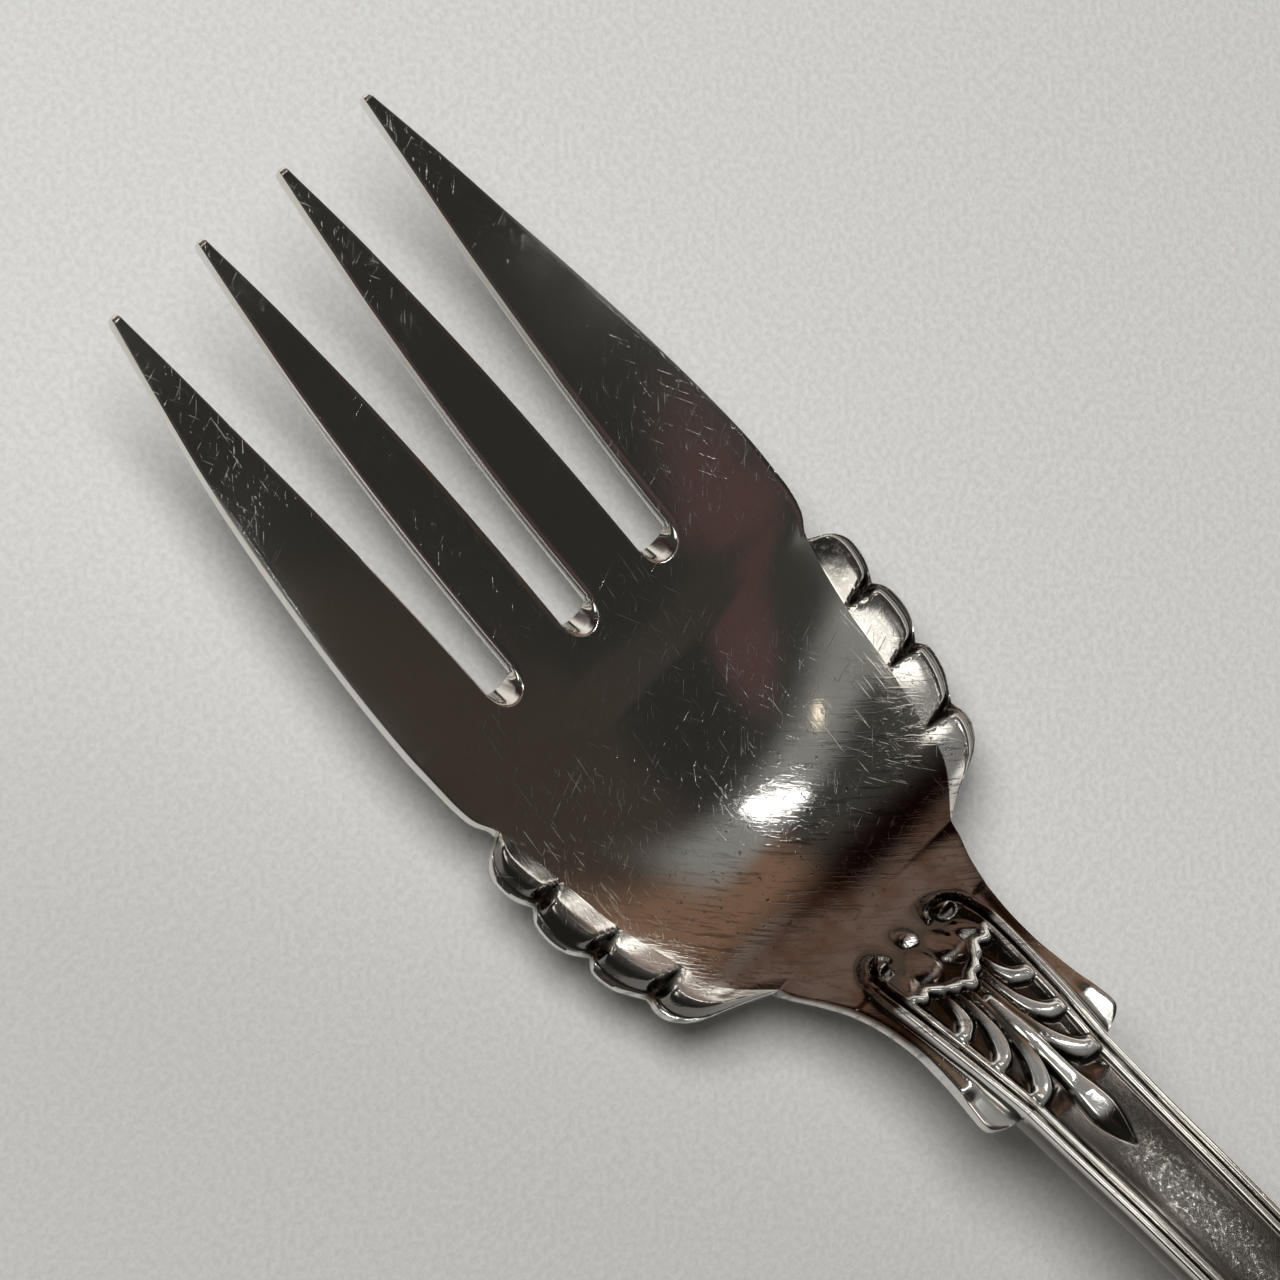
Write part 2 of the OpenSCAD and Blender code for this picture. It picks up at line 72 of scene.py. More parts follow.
# Sizes of the fork, in millimetres; u runs from the tips to the end of the handle, w from the middle line
FORK_LEN, ARCH_H, HEAD_LEN, NECK_LEN = 152, 10.4, 51.7, 14.1
SLOT_LEN, TINES_W, OUTER_TIPS_W, INNER_TIPS_W = 29.8, 28.2, 20.1, 6.5
INNER_TINE_W, SLOT_W, TIP_W, TIP_T, TINE_T = 4.1, 2.3, 0.5, 0.95, 1.2
EASE, LOW_EASE, CROTCH_BEVEL = 0.16, 0.42, 0.5
BOWL_DEPTH, BOWL_T, RIM_T, WEAR = 3, 1.5, 1.15, 0.06
LOBE_OUT, LOBE_H, GROOVE_D, LEDGE_H, LEDGE_T = 3.1, 0.85, 0.35, 0.25, 0.75
NECK_W, NECK_T, SHOULDER_W = 9.75, 2.6, 10.7
STEM_W, STEM_T, BAR_W = 7.1, 2.4, 8.6
END_LEN, END_W, END_T = 44, 16, 2

SLOT_U = SLOT_LEN - SLOT_W / 2
PALM_LEN = HEAD_LEN - SLOT_U
NOTCH_U = SLOT_U + PALM_LEN * 0.267
SIDE_LEN = HEAD_LEN - NOTCH_U
SHOULDER_U = HEAD_LEN + NECK_LEN
END_U = FORK_LEN - END_LEN
STEM_LEN = END_U - SHOULDER_U
RIM_H = BOWL_DEPTH + BOWL_T - WEAR
RISE_H = ARCH_H - RIM_H
FOOT_H = END_T - WEAR
SLOT_HALF = SLOT_W / 2
SIDE_SLOT = SLOT_HALF + INNER_TINE_W + SLOT_HALF
TINES_HALF = TINES_W / 2


def curve(x, places, values):
    """Smooth curve through measured places, at each place with the mean slope of its neighbours."""
    x, xs, ys = np.asarray(x, float), np.asarray(places, float), np.asarray(values, float)
    lean = np.empty_like(ys)
    lean[1:-1] = (ys[2:] - ys[:-2]) / (xs[2:] - xs[:-2])
    lean[0] = (ys[1] - ys[0]) / (xs[1] - xs[0])
    lean[-1] = (ys[-1] - ys[-2]) / (xs[-1] - xs[-2])
    i = np.clip(np.searchsorted(xs, x, side="right") - 1, 0, len(xs) - 2)
    h = xs[i + 1] - xs[i]
    t = (x - xs[i]) / h
    p = t * t * (3 - 2 * t)
    return (ys[i] + (ys[i + 1] - ys[i]) * p + lean[i] * h * t * (1 - t) ** 2
            - lean[i + 1] * h * t * t * (1 - t))


def mix(a, b, t):
    """Value at a share t of the way from a to b."""
    return a + (b - a) * t


def ramp(x, a, b):
    """Soft step from 0 at a to 1 at b."""
    t = np.clip((np.asarray(x, float) - a) / (b - a), 0, 1)
    return t * t * (3 - 2 * t)


def between(x, a, b, c, d):
    """Share that rises from 0 at a to 1 at b and falls again from c to d."""
    return ramp(x, a, b) * (1 - ramp(x, c, d))


def stations(*parts):
    """Places along the fork, from parts of it given as start, length and shares of that length."""
    return np.concatenate([start + length * np.asarray(shares, float) for start, length, shares in parts])


# Height of the upper face along the middle of the fork, as shares of the rise of the arch
RISE_AT = stations(
    (0, SLOT_U, [0, 0.175, 0.35, 0.525, 0.7, 0.873, 1]),
    (SLOT_U, PALM_LEN, [0.12, 0.213, 0.267, 0.46, 0.63, 0.8, 0.926, 1]),
    (HEAD_LEN, NECK_LEN, [0.1, 0.177, 0.255, 0.333, 0.489, 0.645, 0.8, 0.957]),
    (SHOULDER_U, STEM_LEN, [0.1, 0.22, 0.38, 0.573, 0.763, 1]),
    (END_U, END_LEN, [0.25, 0.5, 0.72, 0.89, 1]),
)
RISE_SHARE = [
    0.777, 0.648, 0.51, 0.433, 0.379, 0.324, 0.284,
    0.24, 0.169, 0.115, 0.022, 0.015, 0.042, 0.086, 0.144,
    0.23, 0.314, 0.401, 0.474, 0.576, 0.651, 0.706, 0.743,
    0.807, 0.895, 0.966, 1, 0.94, 0.74,
]
END_H = RIM_H + RISE_H * RISE_SHARE[-1]
RISE_Z = np.concatenate([
    RIM_H + RISE_H * np.array(RISE_SHARE),
    FOOT_H + (END_H - FOOT_H) * np.array([0.725, 0.414, 0.175, 0.04, 0]),
])
# Hollow of the palm, as a share of its full depth
DISH_AT = np.concatenate([
    stations((0, SLOT_U, [0, 0.35, 0.52, 0.69, 0.86, 1]),
             (SLOT_U, PALM_LEN, [0.267, 0.466, 0.64, 0.805, 1]),
             (HEAD_LEN, NECK_LEN, [0.177, 0.333, 0.489, 0.8])),
    [FORK_LEN],
])
DISH = [0, 0.04, 0.17, 0.36, 0.54, 0.68, 0.87, 0.93, 1, 0.94, 0.56, 0.24, 0.08, 0.01, 0, 0]
# Thickness of the metal along the middle, and at the edge as a share of it
THICK_AT = [0, SLOT_U, SLOT_U + PALM_LEN * 0.5, HEAD_LEN, HEAD_LEN + NECK_LEN * 0.5,
            SHOULDER_U + STEM_LEN * 0.3, END_U + END_LEN * 0.3, FORK_LEN]
THICK_MID = [TIP_T, TINE_T, BOWL_T, (BOWL_T + NECK_T) / 2, NECK_T, STEM_T, (STEM_T + END_T) / 2, END_T]
EDGE_AT = [SLOT_U, SLOT_U + PALM_LEN * 0.3, HEAD_LEN - PALM_LEN * 0.3, HEAD_LEN, SHOULDER_U, FORK_LEN]
EDGE = [1, RIM_T / BOWL_T, RIM_T / BOWL_T, 0.62, 0.52, 0.55]
# Half widths of palm, neck, raised bar, stem and handle end, along each of them
PALM_W_AT = [0, 0.09, 0.155, 0.213, 0.267, 0.463, 0.633, 0.8, 0.845, 0.893, 0.94, 0.985, 1]
PALM_W = [1, 0.995, 0.988, 0.966, 0.912, 0.846, 0.804, 0.727, 0.715, 0.678, 0.615, 0.54, 0.515]
PALM_HALF = TINES_HALF * PALM_W[-1]
NECK_W_AT = [0, 0.06, 0.137, 0.177, 0.255, 0.333, 0.411, 0.489, 0.567, 0.645, 0.723, 0.8, 0.879, 0.92,
             0.957, 0.985, 1]
NECK_IN = np.array([1, 0.88, 0.61, 0.49, 0.29, 0.16, 0.07, 0.02, 0])
NECK_OUT = np.array([0.12, 0.31, 0.59, 0.9, 1, 0.68, -0.5, -1.7])
NECK_HALF = np.concatenate([NECK_W / 2 + (PALM_HALF - NECK_W / 2) * NECK_IN,
                            NECK_W / 2 + (SHOULDER_W / 2 - NECK_W / 2) * NECK_OUT])
BAR_AT = [0, 0.142, 0.213, 0.255, 0.333, 0.489, 0.645, 0.8, 0.957, 1]
BAR_SHARE = [0.1, 0.35, 0.75, 0.89, 1, 0.84, 0.61, 0.36, 0.08, 0]
STEM_W_AT = [0, 0.2, 0.55, 0.8, 1]
STEM_SHARE = [1, 0.955, 0.93, 1, 1.22]
END_ALONG = [0, 0.06, 0.105, 0.135, 0.17, 0.23, 0.32, 0.44, 0.57, 0.7, 0.81, 0.9, 0.965, 1, 0.965]
END_WIDE = [0.56, 0.62, 0.72, 0.795, 0.765, 0.745, 0.785, 0.865, 0.945, 1, 0.975, 0.83, 0.5, 0, -0.5]


def swell(t, power):
    """Share that grows fast from 0 and slows down towards 1."""
    return 1 - (1 - t) ** power


def outer_tine(u):
    """Distances of both edges of an outer tine from the middle line."""
    t = np.asarray(u) / SLOT_U
    return (mix((OUTER_TIPS_W + TIP_W) / 2, TINES_HALF, swell(t, 1.62)),
            mix((OUTER_TIPS_W - TIP_W) / 2, SIDE_SLOT + SLOT_HALF, swell(t, 1.45)))


def inner_tine(u):
    """Distances of both edges of an inner tine from the middle line."""
    t = np.asarray(u) / SLOT_U
    return (mix((INNER_TIPS_W + TIP_W) / 2, SLOT_HALF + INNER_TINE_W, swell(t, 2.3)),
            mix((INNER_TIPS_W - TIP_W) / 2, SLOT_HALF, swell(t, 2.15)))


def stem_half(u):
    """Half the width of the stem between its edges."""
    return STEM_W / 2 * curve((u - SHOULDER_U) / STEM_LEN, STEM_W_AT, STEM_SHARE)


def bar_half(u):
    """Half the width of the raised bar on neck and stem."""
    t = np.clip((u - HEAD_LEN) / NECK_LEN, 0, 1)
    neck = STEM_W / 2 + (BAR_W - STEM_W) / 2 * curve(t, BAR_AT, BAR_SHARE)
    return np.where(u < SHOULDER_U, neck, stem_half(np.clip(u, SHOULDER_U, END_U)))


def end_outline():
    """Outline of the wide end of the handle, from the stem round to the middle of the tip."""
    n = len(END_ALONG) - 1
    q = np.linspace(0, n - 1, 700)
    wide = END_W / 2 * np.array(END_WIDE)
    wide[0] = stem_half(END_U) + EASE
    along = END_U + END_LEN * curve(q, np.arange(n + 1), END_ALONG)
    return np.minimum(along, FORK_LEN), np.maximum(curve(q, np.arange(n + 1), wide), 0)


END_OUTLINE = end_outline()


def half_at(u):
    """Half the width of the fork at a distance u from the tips."""
    u = np.asarray(u, float)
    palm = TINES_HALF * curve(np.clip((u - SLOT_U) / PALM_LEN, 0, 1), PALM_W_AT, PALM_W)
    neck = curve(np.clip((u - HEAD_LEN) / NECK_LEN, 0, 1), NECK_W_AT, NECK_HALF)
    neck = np.maximum(neck, bar_half(u) + EASE)
    stem = stem_half(np.clip(u, SHOULDER_U, END_U)) + EASE
    end = np.interp(u, END_OUTLINE[0], END_OUTLINE[1])
    return np.select([u <= SLOT_U, u <= HEAD_LEN, u <= SHOULDER_U, u <= END_U],
                     [outer_tine(np.clip(u, 0, SLOT_U))[0], palm, neck, stem], end)


def width_share(u, w):
    """Share of the half width at which a point lies, 0 in the middle and 1 at the edge."""
    half = np.where(np.asarray(u) > END_U, END_W / 2, half_at(u))
    return np.minimum(1, np.abs(w) / half)


def face(u, w):
    """Upper face of the struck blank, without edges or ornament."""
    s = width_share(u, w)
    return curve(u, RISE_AT, RISE_Z) - BOWL_DEPTH * np.maximum(0, curve(u, DISH_AT, DISH)) * (1 - s * s)


def under(u, w):
    """Lower face of the blank."""
    u = np.asarray(u, float)
    mid = curve(u, THICK_AT, THICK_MID)
    rim = np.where(u < SLOT_U, mid, mid * curve(np.maximum(u, SLOT_U), EDGE_AT, EDGE))
    lean = (face(np.minimum(u + SLOT_HALF, FORK_LEN), w) - face(np.maximum(u - SLOT_HALF, 0), w)) / SLOT_W
    t = mix(mid, rim, width_share(u, w) ** 3) * np.sqrt(1 + lean ** 2)
    return np.maximum(0, face(u, w) - t)


def rounding(depth, size):
    """How far a rounded edge of this size lies below the face at a depth inside the outline."""
    t = 1 - np.clip(depth / size, 0, 1)
    return size * (1 - np.sqrt(np.maximum(0, 1 - t * t)))


def spot(u, w, z, tarnish_and_painted_shade=0.0, scuff=0.0, painted_highlight=0.0, stain_and_painted_reflection=0.0):
    """A point of the fork in metres, in the frame of the solids, with its shares of tarnish and painted
    shade, scuffs, painted highlight, and brown stain with painted reflection.
    """
    u, w, z, tarnish_and_painted_shade, scuff, painted_highlight, stain_and_painted_reflection = np.broadcast_arrays(u, w, z, tarnish_and_painted_shade, scuff, painted_highlight, stain_and_painted_reflection)
    return np.stack([(FORK_LEN / 2 - u) * MM, w * MM, z * MM, tarnish_and_painted_shade, scuff, painted_highlight, stain_and_painted_reflection], -1)


BROWN_STAIN_AND_REFLECTION_AT = (47.2, 49.8, 58.3, 61)
SCUFF_AND_PAINTED_SHADE_END = (84, 98)


def brown_stain_and_painted_reflection(u):
    """Brown where the bowl runs up to the neck: partly a real stain, partly a painted reflection of a warm
    room.
    """
    return between(u, *BROWN_STAIN_AND_REFLECTION_AT)


# Ornament of the neck
BAR_START = HEAD_LEN + 1.95
BAR_CORNER = 1.3


def inside_bar(u, w):
    """Distance inside the outline of the raised bar, whose front corners are round."""
    side, front, r = bar_half(u) - np.abs(w), u - BAR_START, BAR_CORNER
    corner = r - np.hypot(np.maximum(r - side, 0), np.maximum(r - front, 0))
    return np.where((side < r) & (front < r), corner, np.minimum(side, front))


# Profile of the two threads: height over the distance inside the bar
THREAD_AT = [-0.3, -0.08, 0.02, 0.14, 0.26, 0.42, 0.52, 0.6, 0.68, 0.78, 0.9, 1.04, 1.14, 1.26, 1.5, 3]
THREAD_Z = [0, 0.02, 0.28, 0.54, 0.6, 0.59, 0.5, 0.26, 0.26, 0.5, 0.58, 0.57, 0.48, 0.28, 0.24, 0.24]


def blended(a, b, soft):
    """The higher of two heights, with a soft valley where they meet."""
    h = np.maximum(soft - np.abs(a - b), 0) / soft
    return np.maximum(a, b) + h * h * soft / 4


def stroke(u, w, path, power, round_, lean=0.0, side=0.0):
    """A raised leaf or ridge along a path of (u, w, half width, height).

    Its top rises by lean towards the tips of the tines, and by side towards the middle line.
    """
    best = np.zeros_like(u)
    for a, b in zip(path[:-1], path[1:]):
        du, dw = b[0] - a[0], b[1] - a[1]
        t = np.clip(((u - a[0]) * du + (w - a[1]) * dw) / (du * du + dw * dw), 0, 1)
        away = np.hypot(u - a[0] - du * t, w - a[1] - dw * t)
        r, h = mix(a[2], b[2], t), mix(a[3], b[3], t)
        h = h + lean * (a[0] + du * t - u) + side * (a[1] + dw * t - w)
        best = np.maximum(best, h * np.maximum(0, 1 - (away / r) ** round_) ** power)
    return best


def bent(path, steps=5):
    """The path of a stroke with smooth bends instead of corners."""
    n = np.arange(len(path))
    fine = np.linspace(0, n[-1], n[-1] * steps + 1)
    return np.stack([curve(fine, n, [p[k] for p in path]) for k in range(4)], 1)


def dome(u, w, at, size, height, turn=0, power=0.8):
    """Height of an oval dome, with its two half axes as size and its turn in degrees."""
    du, dw = u - at[0], w - at[1]
    c, s = math.cos(math.radians(turn)), math.sin(math.radians(turn))
    q = 1 - ((du * c + dw * s) / size[0]) ** 2 - ((dw * c - du * s) / size[1]) ** 2
    return height * np.maximum(0, q) ** power


def cut_dome(u, w, at, size, slope, side):
    """Small dome of a bead or volute, cut by a slanting facet that catches the light."""
    facet = 0.38 - slope * (u - (at[0] + 0.25)) - side * (w - at[1])
    return np.minimum(dome(u, w, at, size, 0.64, 0, 0.6), facet)


# Each leaf has the lean of its top and then its path; the others are paths alone
LEAVES = [
    [0.0, (58.6, 0.42, 0.24, 0.34), (61.2, 0.5, 0.3, 0.46), (63.2, 0.72, 0.44, 0.6),
     (64.6, 1.15, 0.56, 0.7), (65.45, 1.72, 0.6, 0.72), (65.65, 2.3, 0.5, 0.66)],
    [0.045, (58.2, 1.02, 0.24, 0.34), (60.2, 1.06, 0.3, 0.46), (61.7, 1.34, 0.44, 0.6),
     (62.65, 1.9, 0.52, 0.68), (62.9, 2.45, 0.44, 0.62)],
    [0.105, (57.9, 1.62, 0.22, 0.32), (59.0, 1.68, 0.3, 0.44), (60.0, 2.05, 0.44, 0.6),
     (60.4, 2.6, 0.44, 0.62)],
]
HOLLOWS = [
    [(57.9, 2.0, 0.14, 0.2), (58.6, 2.3, 0.28, 0.4), (59.4, 2.62, 0.4, 0.5)],
    [(60.3, 1.5, 0.14, 0.2), (61.0, 1.85, 0.34, 0.6), (61.6, 2.4, 0.46, 0.8)],
    [(62.6, 1.2, 0.14, 0.2), (63.6, 1.65, 0.38, 0.65), (64.25, 2.2, 0.5, 0.85)],
    [(66.1, 1.0, 0.14, 0.1), (66.6, 1.6, 0.3, 0.3), (66.8, 2.2, 0.34, 0.34)],
]
CREST = [(57.0, 3.05, 0.2, 0.62), (57.5, 2.6, 0.3, 0.84), (57.15, 2.1, 0.22, 0.64), (57.75, 1.55, 0.33, 0.88),
         (57.9, 1.25, 0.24, 0.7), (58.25, 0.8, 0.33, 0.9), (58.25, 0.45, 0.25, 0.74), (58.75, 0.0, 0.36, 0.9)]
SPINE = [(60.0, 0, 0.26, 0.46), (62.0, 0, 0.4, 0.7), (64.0, 0, 0.54, 0.67), (66.0, 0, 0.6, 0.66),
         (67.4, 0, 0.76, 0.66), (68.6, 0, 0.84, 0.64), (69.8, 0, 0.56, 0.42), (71.1, 0, 0.1, 0.1)]
VOLUTE = (54.75, 2.62)
SIDE_TILT = 0.1


def palmette(u, w):
    """Height of the petals, crest, leaves and spear above the field of the bar, below zero in the hollows."""
    side = SIDE_TILT * np.sign(w)
    w = np.abs(w)
    flutes = 0.24 + 0.07 * np.cos(2 * math.pi * (w - 0.42) / 0.6)
    flutes = flutes * ramp(u, 58.2, 58.9) * (1 - ramp(u - 1.1 * w, 61.0, 63.2))
    up = blended(np.zeros_like(u), flutes * (1 - ramp(w, 1.7, 2.2)), 0.1)
    for leaf in LEAVES:
        up = blended(up, stroke(u, w, bent(leaf[1:]), 0.5, 4.5, leaf[0], side), 0.08)
    for hollow in HOLLOWS:
        up = up - stroke(u, w, bent(hollow), 0.7, 2)
    up = blended(up, stroke(u, w, bent(SPINE), 0.55, 4, 0, side), 0.1)
    petal = dome(u, w, (56.3, 0.95), (1.4, 0.95), 0.42, 12, 0.6)
    outer_petal = dome(u, w, (56.35, 2.35), (1.15, 0.5), 0.34, 36, 0.6)
    veins = dome(u, w, (56.0, 0.85), (0.75, 0.1), 0.12, 12) + dome(u, w, (56.6, 2.3), (0.7, 0.08), 0.08, 36)
    up = blended(blended(up, petal, 0.14), outer_petal, 0.14) - veins
    ring = np.hypot(u - VOLUTE[0] - 0.1, w - VOLUTE[1]) - 0.95
    for shape in (
        cut_dome(u, w, (54.5, 0), (0.74, 0.62), 0.64, side),
        cut_dome(u, w, VOLUTE, (0.66, 0.52), 0.6, side),
        0.42 * np.maximum(0, 1 - (ring / 0.2) ** 2) * (u < 54.8),
        stroke(u, w, CREST, 0.55, 3.5, 0.28, side),
    ):
        up = blended(up, shape, 0.06)
    return up


def raised(u, w):
    """Height of bar, threads and palmette above the upper face."""
    u, w = np.broadcast_arrays(np.asarray(u, float), np.asarray(w, float))
    depth = inside_bar(u, w)
    on = ramp(u, BAR_START - 0.3, BAR_START + 0.4)
    front = mix(ramp(np.abs(w), 1.9, 2.5), 1, ramp(u, 55.2, 56.8))
    threads = curve(np.clip(depth, -0.3, 3), THREAD_AT, THREAD_Z) * (1.3 - 0.3 * ramp(u, 56, 60))
    field = threads - 0.12 * ramp(depth, 1.3, 1.8) * between(u, 54.5, 56.5, 66.2, 67.4)
    panel = between(u, 67.5, 71, END_U - 8, END_U - 1) * ramp(depth, 1.2, 1.6)
    slant = 0.02 * np.maximum(u - 62.4, 0) - 0.12 * np.sign(w) * ramp(u, 62.4, 63.4) * depth
    shoulder = -slant * ramp(-depth, 0.05, 0.25) * (u < SHOULDER_U + 0.01)
    # the soft valleys lift open ground a little, which has to end before the palm and the handle end
    relief = palmette(u, w) * np.where(u < 55.4, 1, ramp(depth, 1.0, 1.35))
    relief = relief * between(u, HEAD_LEN, BAR_START, END_U - 16, END_U - 1)
    return field * front * on + 0.02 * panel + shoulder + relief


def smooth(height):
    """The same relief with its smallest steps rubbed off; the first and last rows stay as they are."""
    out = height.copy()
    for _ in range(2):
        wide = np.pad(out, 1, mode="edge")
        out = (wide[:-2, 1:-1] + wide[2:, 1:-1] + wide[1:-1, :-2] + wide[1:-1, 2:] + 2 * wide[1:-1, 1:-1]) / 6
        out[0], out[-1] = height[0], height[-1]
    return out


FULL_HOLLOW = 0.12


def recess(height, reach):
    """How deep each place lies among its neighbours, from 0 on open ground to 1 in a hollow."""
    wide = np.pad(height, reach, mode="edge")
    total = np.cumsum(np.cumsum(np.pad(wide, ((1, 0), (1, 0))), 0), 1)
    n = 2 * reach + 1
    mean = (total[n:, n:] - total[:-n, n:] - total[n:, :-n] + total[:-n, :-n]) / (n * n)
    return (mean - height) / FULL_HOLLOW


# Grids of points
def edge_columns(width, count):
    """Places across a strip: a rounded edge on each side and even steps between."""
    inner = np.linspace(EASE, width - EASE, count)
    return np.concatenate([[0, EASE * 0.3], inner, [width - EASE * 0.3, width]])


ARC = SLOT_HALF * np.sin(np.radians(np.arange(-75, 76, 15)))
INNER_COLUMNS = SLOT_HALF + edge_columns(INNER_TINE_W, 13)
OUTER_COLUMNS = SIDE_SLOT + SLOT_HALF + edge_columns(TINES_HALF - SIDE_SLOT - SLOT_HALF, 23)
HALF_COLUMNS = np.concatenate([ARC[5:], INNER_COLUMNS, SIDE_SLOT + ARC, OUTER_COLUMNS])
COLUMNS = np.concatenate([-HALF_COLUMNS[:0:-1], HALF_COLUMNS])
N_HALF = len(HALF_COLUMNS) - 1

# Roundings and the least thickness at tips and edges
TIP_ROUND, STRIP_EASE, LOBE_EASE, LOBE_LOW_EASE = 0.34, 0.5, 0.12, 0.2
THIN_TIP, THIN_EDGE = 0.12, 0.05
# Rows of points of a tine, close together round its tip
TINE_SHARES = np.concatenate([[0, 0.0012, 0.003, 0.0055, 0.009, 0.014],
                              0.014 + 0.986 * np.linspace(0, 1, 56)[1:] ** 1.3])


def tine_grid(edges, at):
    """Upper and lower grid of one tine, from its blunt tip to the places at its root."""
    u = (SLOT_U * TINE_SHARES)[:, None]
    outer, inner = edges(u)
    mid, half = (outer + inner) / 2, (outer - inner) / 2
    nose = np.sqrt(np.clip(1 - (1 - u / TIP_ROUND) ** 2, 0, 1))
    half = half * np.where(u < TIP_ROUND, mix(0.25, 1, nose), 1)
    c = np.minimum(EASE, half * 0.4)
    root = at - at[0]
    width = root[-1]
    off = np.where(root <= EASE, root / EASE * c,
                   np.where(root >= width - EASE, 2 * half - (width - root) / EASE * c,
                            c + (root - EASE) / (width - 2 * EASE) * (2 * half - 2 * c)))
    w = mid - half + off
    depth = np.minimum(w - mid + half, half - (w - mid))
    tip = rounding(u, TIP_ROUND)
    top = face(u, w) - rounding(depth, c) - tip
    low = under(u, w) + rounding(depth, np.minimum(LOW_EASE, half * 0.45)) + tip * 0.8
    low = np.minimum(low, top - THIN_TIP)
    return spot(u, w, top), spot(u, w, low)


def slot_gap(u, w):
    """Distance from the slots' outline, and how squarely that outline faces the tips there."""
    d = np.minimum(np.abs(w), np.abs(np.abs(w) - SIDE_SLOT))
    past = np.maximum(u - SLOT_U, 0)
    away = np.hypot(past, d)
    return away - SLOT_HALF, past / np.maximum(away, 1e-6)


def side_edge(u):
    """Share of the rounded side edge of the palm, which ends where the lobes begin."""
    return 1 - ramp(u, NOTCH_U - 0.6, NOTCH_U - 0.05)


def palm_edges(u, w):
    """How far slot ends and outer edges fall below the upper face of the palm."""
    gap, square = slot_gap(u, w)
    size = mix(EASE, CROTCH_BEVEL, square ** 2)
    slope = np.clip(1 - gap / size, 0, 1)
    bevel = mix(rounding(gap, size), 0.7 * size * slope, square)
    return np.maximum(bevel, rounding(half_at(u) - np.abs(w), EASE) * side_edge(u))


# Rows of points on each lobe, and where the lobes start along the side
LOBE_ROWS = 26
LOBE_START = [0, 0.254, 0.497, 0.725, 1]


def side_stations():
    """Places along the lobes, closer together where one lobe meets the next."""
    rows = []
    for a, b in zip(LOBE_START[:-1], LOBE_START[1:]):
        t = np.arange(LOBE_ROWS) / LOBE_ROWS
        rows.append(a + (b - a) * (0.5 - 0.5 * np.cos(np.pi * t)) * 0.5 + (b - a) * t * 0.5)
    return NOTCH_U + SIDE_LEN * np.concatenate(rows + [[1]])


SIDE_U = side_stations()


def palm_grid():
    """Upper and lower grid of the palm: first rows round the slot ends, then straight rows to the neck."""
    w0 = COLUMNS[None, :]
    d = np.minimum(np.abs(w0), np.abs(np.abs(w0) - SIDE_SLOT))
    offs = np.array([0, 0.1, 0.2, 0.3, 0.4, 0.47, 0.6, 0.8, 1.1, 1.5])[:, None]
    r = SLOT_HALF + offs
    bite = np.sqrt(np.maximum(r * r - d * d, 0))
    curved = SLOT_U + np.maximum(bite, offs * 0.5)
    straight = np.linspace(SLOT_U + 3.1, NOTCH_U, 13)[:-1]
    u = np.concatenate([curved, np.repeat(np.concatenate([straight, SIDE_U])[:, None], w0.shape[1], 1)])
    w = w0 * half_at(u) / TINES_HALF
    top = face(u, w) - palm_edges(u, w)
    low_u = u.copy()
    low_u[0] = SLOT_U + bite[0] * 0.3
    low_u[1:6] = mix(low_u[0], u[6], (np.arange(1, 6) / 6)[:, None])
    gap, square = slot_gap(low_u, w)
    side = rounding(half_at(low_u) - np.abs(w), LOW_EASE) * side_edge(low_u)
    lift = np.maximum(rounding(np.where(square > 0.02, LOW_EASE, gap), LOW_EASE), side)
    lift[0] = np.where(d[0] <= SLOT_HALF + 1e-6, LOW_EASE, lift[0])
    low = under(low_u, w) + lift
    return spot(u, w, top, stain_and_painted_reflection=brown_stain_and_painted_reflection(u)), spot(low_u, w, low)


# Places across a lobe, the profile of its crown there, and its outline and tilt along the side
ACROSS = np.array([0, 0.03, 0.07, 0.11, 0.16, 0.21, 0.27, 0.33, 0.38, 0.43, 0.48, 0.53, 0.58, 0.63, 0.68,
                   0.73, 0.78, 0.82, 0.85, 0.875, 0.895, 0.92, 0.96, 1])
CROWN_AT = [0, 0.1, 0.22, 0.34, 0.45, 0.53, 0.6, 0.7, 0.78, 0.85, 0.89, 1]
CROWN = [0, 0.2, 0.44, 0.68, 0.89, 1, 1, 0.8, 0.48, 0.17, 0.02, 0]
LOBE_AT = [0, 0.15, 0.35, 0.6, 0.8, 1]
LOBE_EDGE = [
    [0, 0.47, 0.75, 0.84, 0.81, 0.7],
    [0.7, 0.9, 0.99, 1, 0.92, 0.75],
    [0.75, 0.94, 1.01, 1.01, 0.93, 0.83],
    [0.83, 0.91, 0.95, 0.82, 0.36, 0],
]
LEDGE = [0.8, 0.8, 0.1, -1.5, -1]
# For each lobe the height of its crown, how much darker its inner side is, how scuffed it is, and how much
# painted highlight its inner side has
LOBE_CROWN = (1, 1, 1.1, 1.2)
LOBE_INNER_DARKENING = (0.5, 0.3, 0, 0)
LOBE_SCUFF = (0.6, 0.5, 0.3, 0.2)
LOBE_PAINTED_HIGHLIGHT = (0, 0.3, 1, 1)


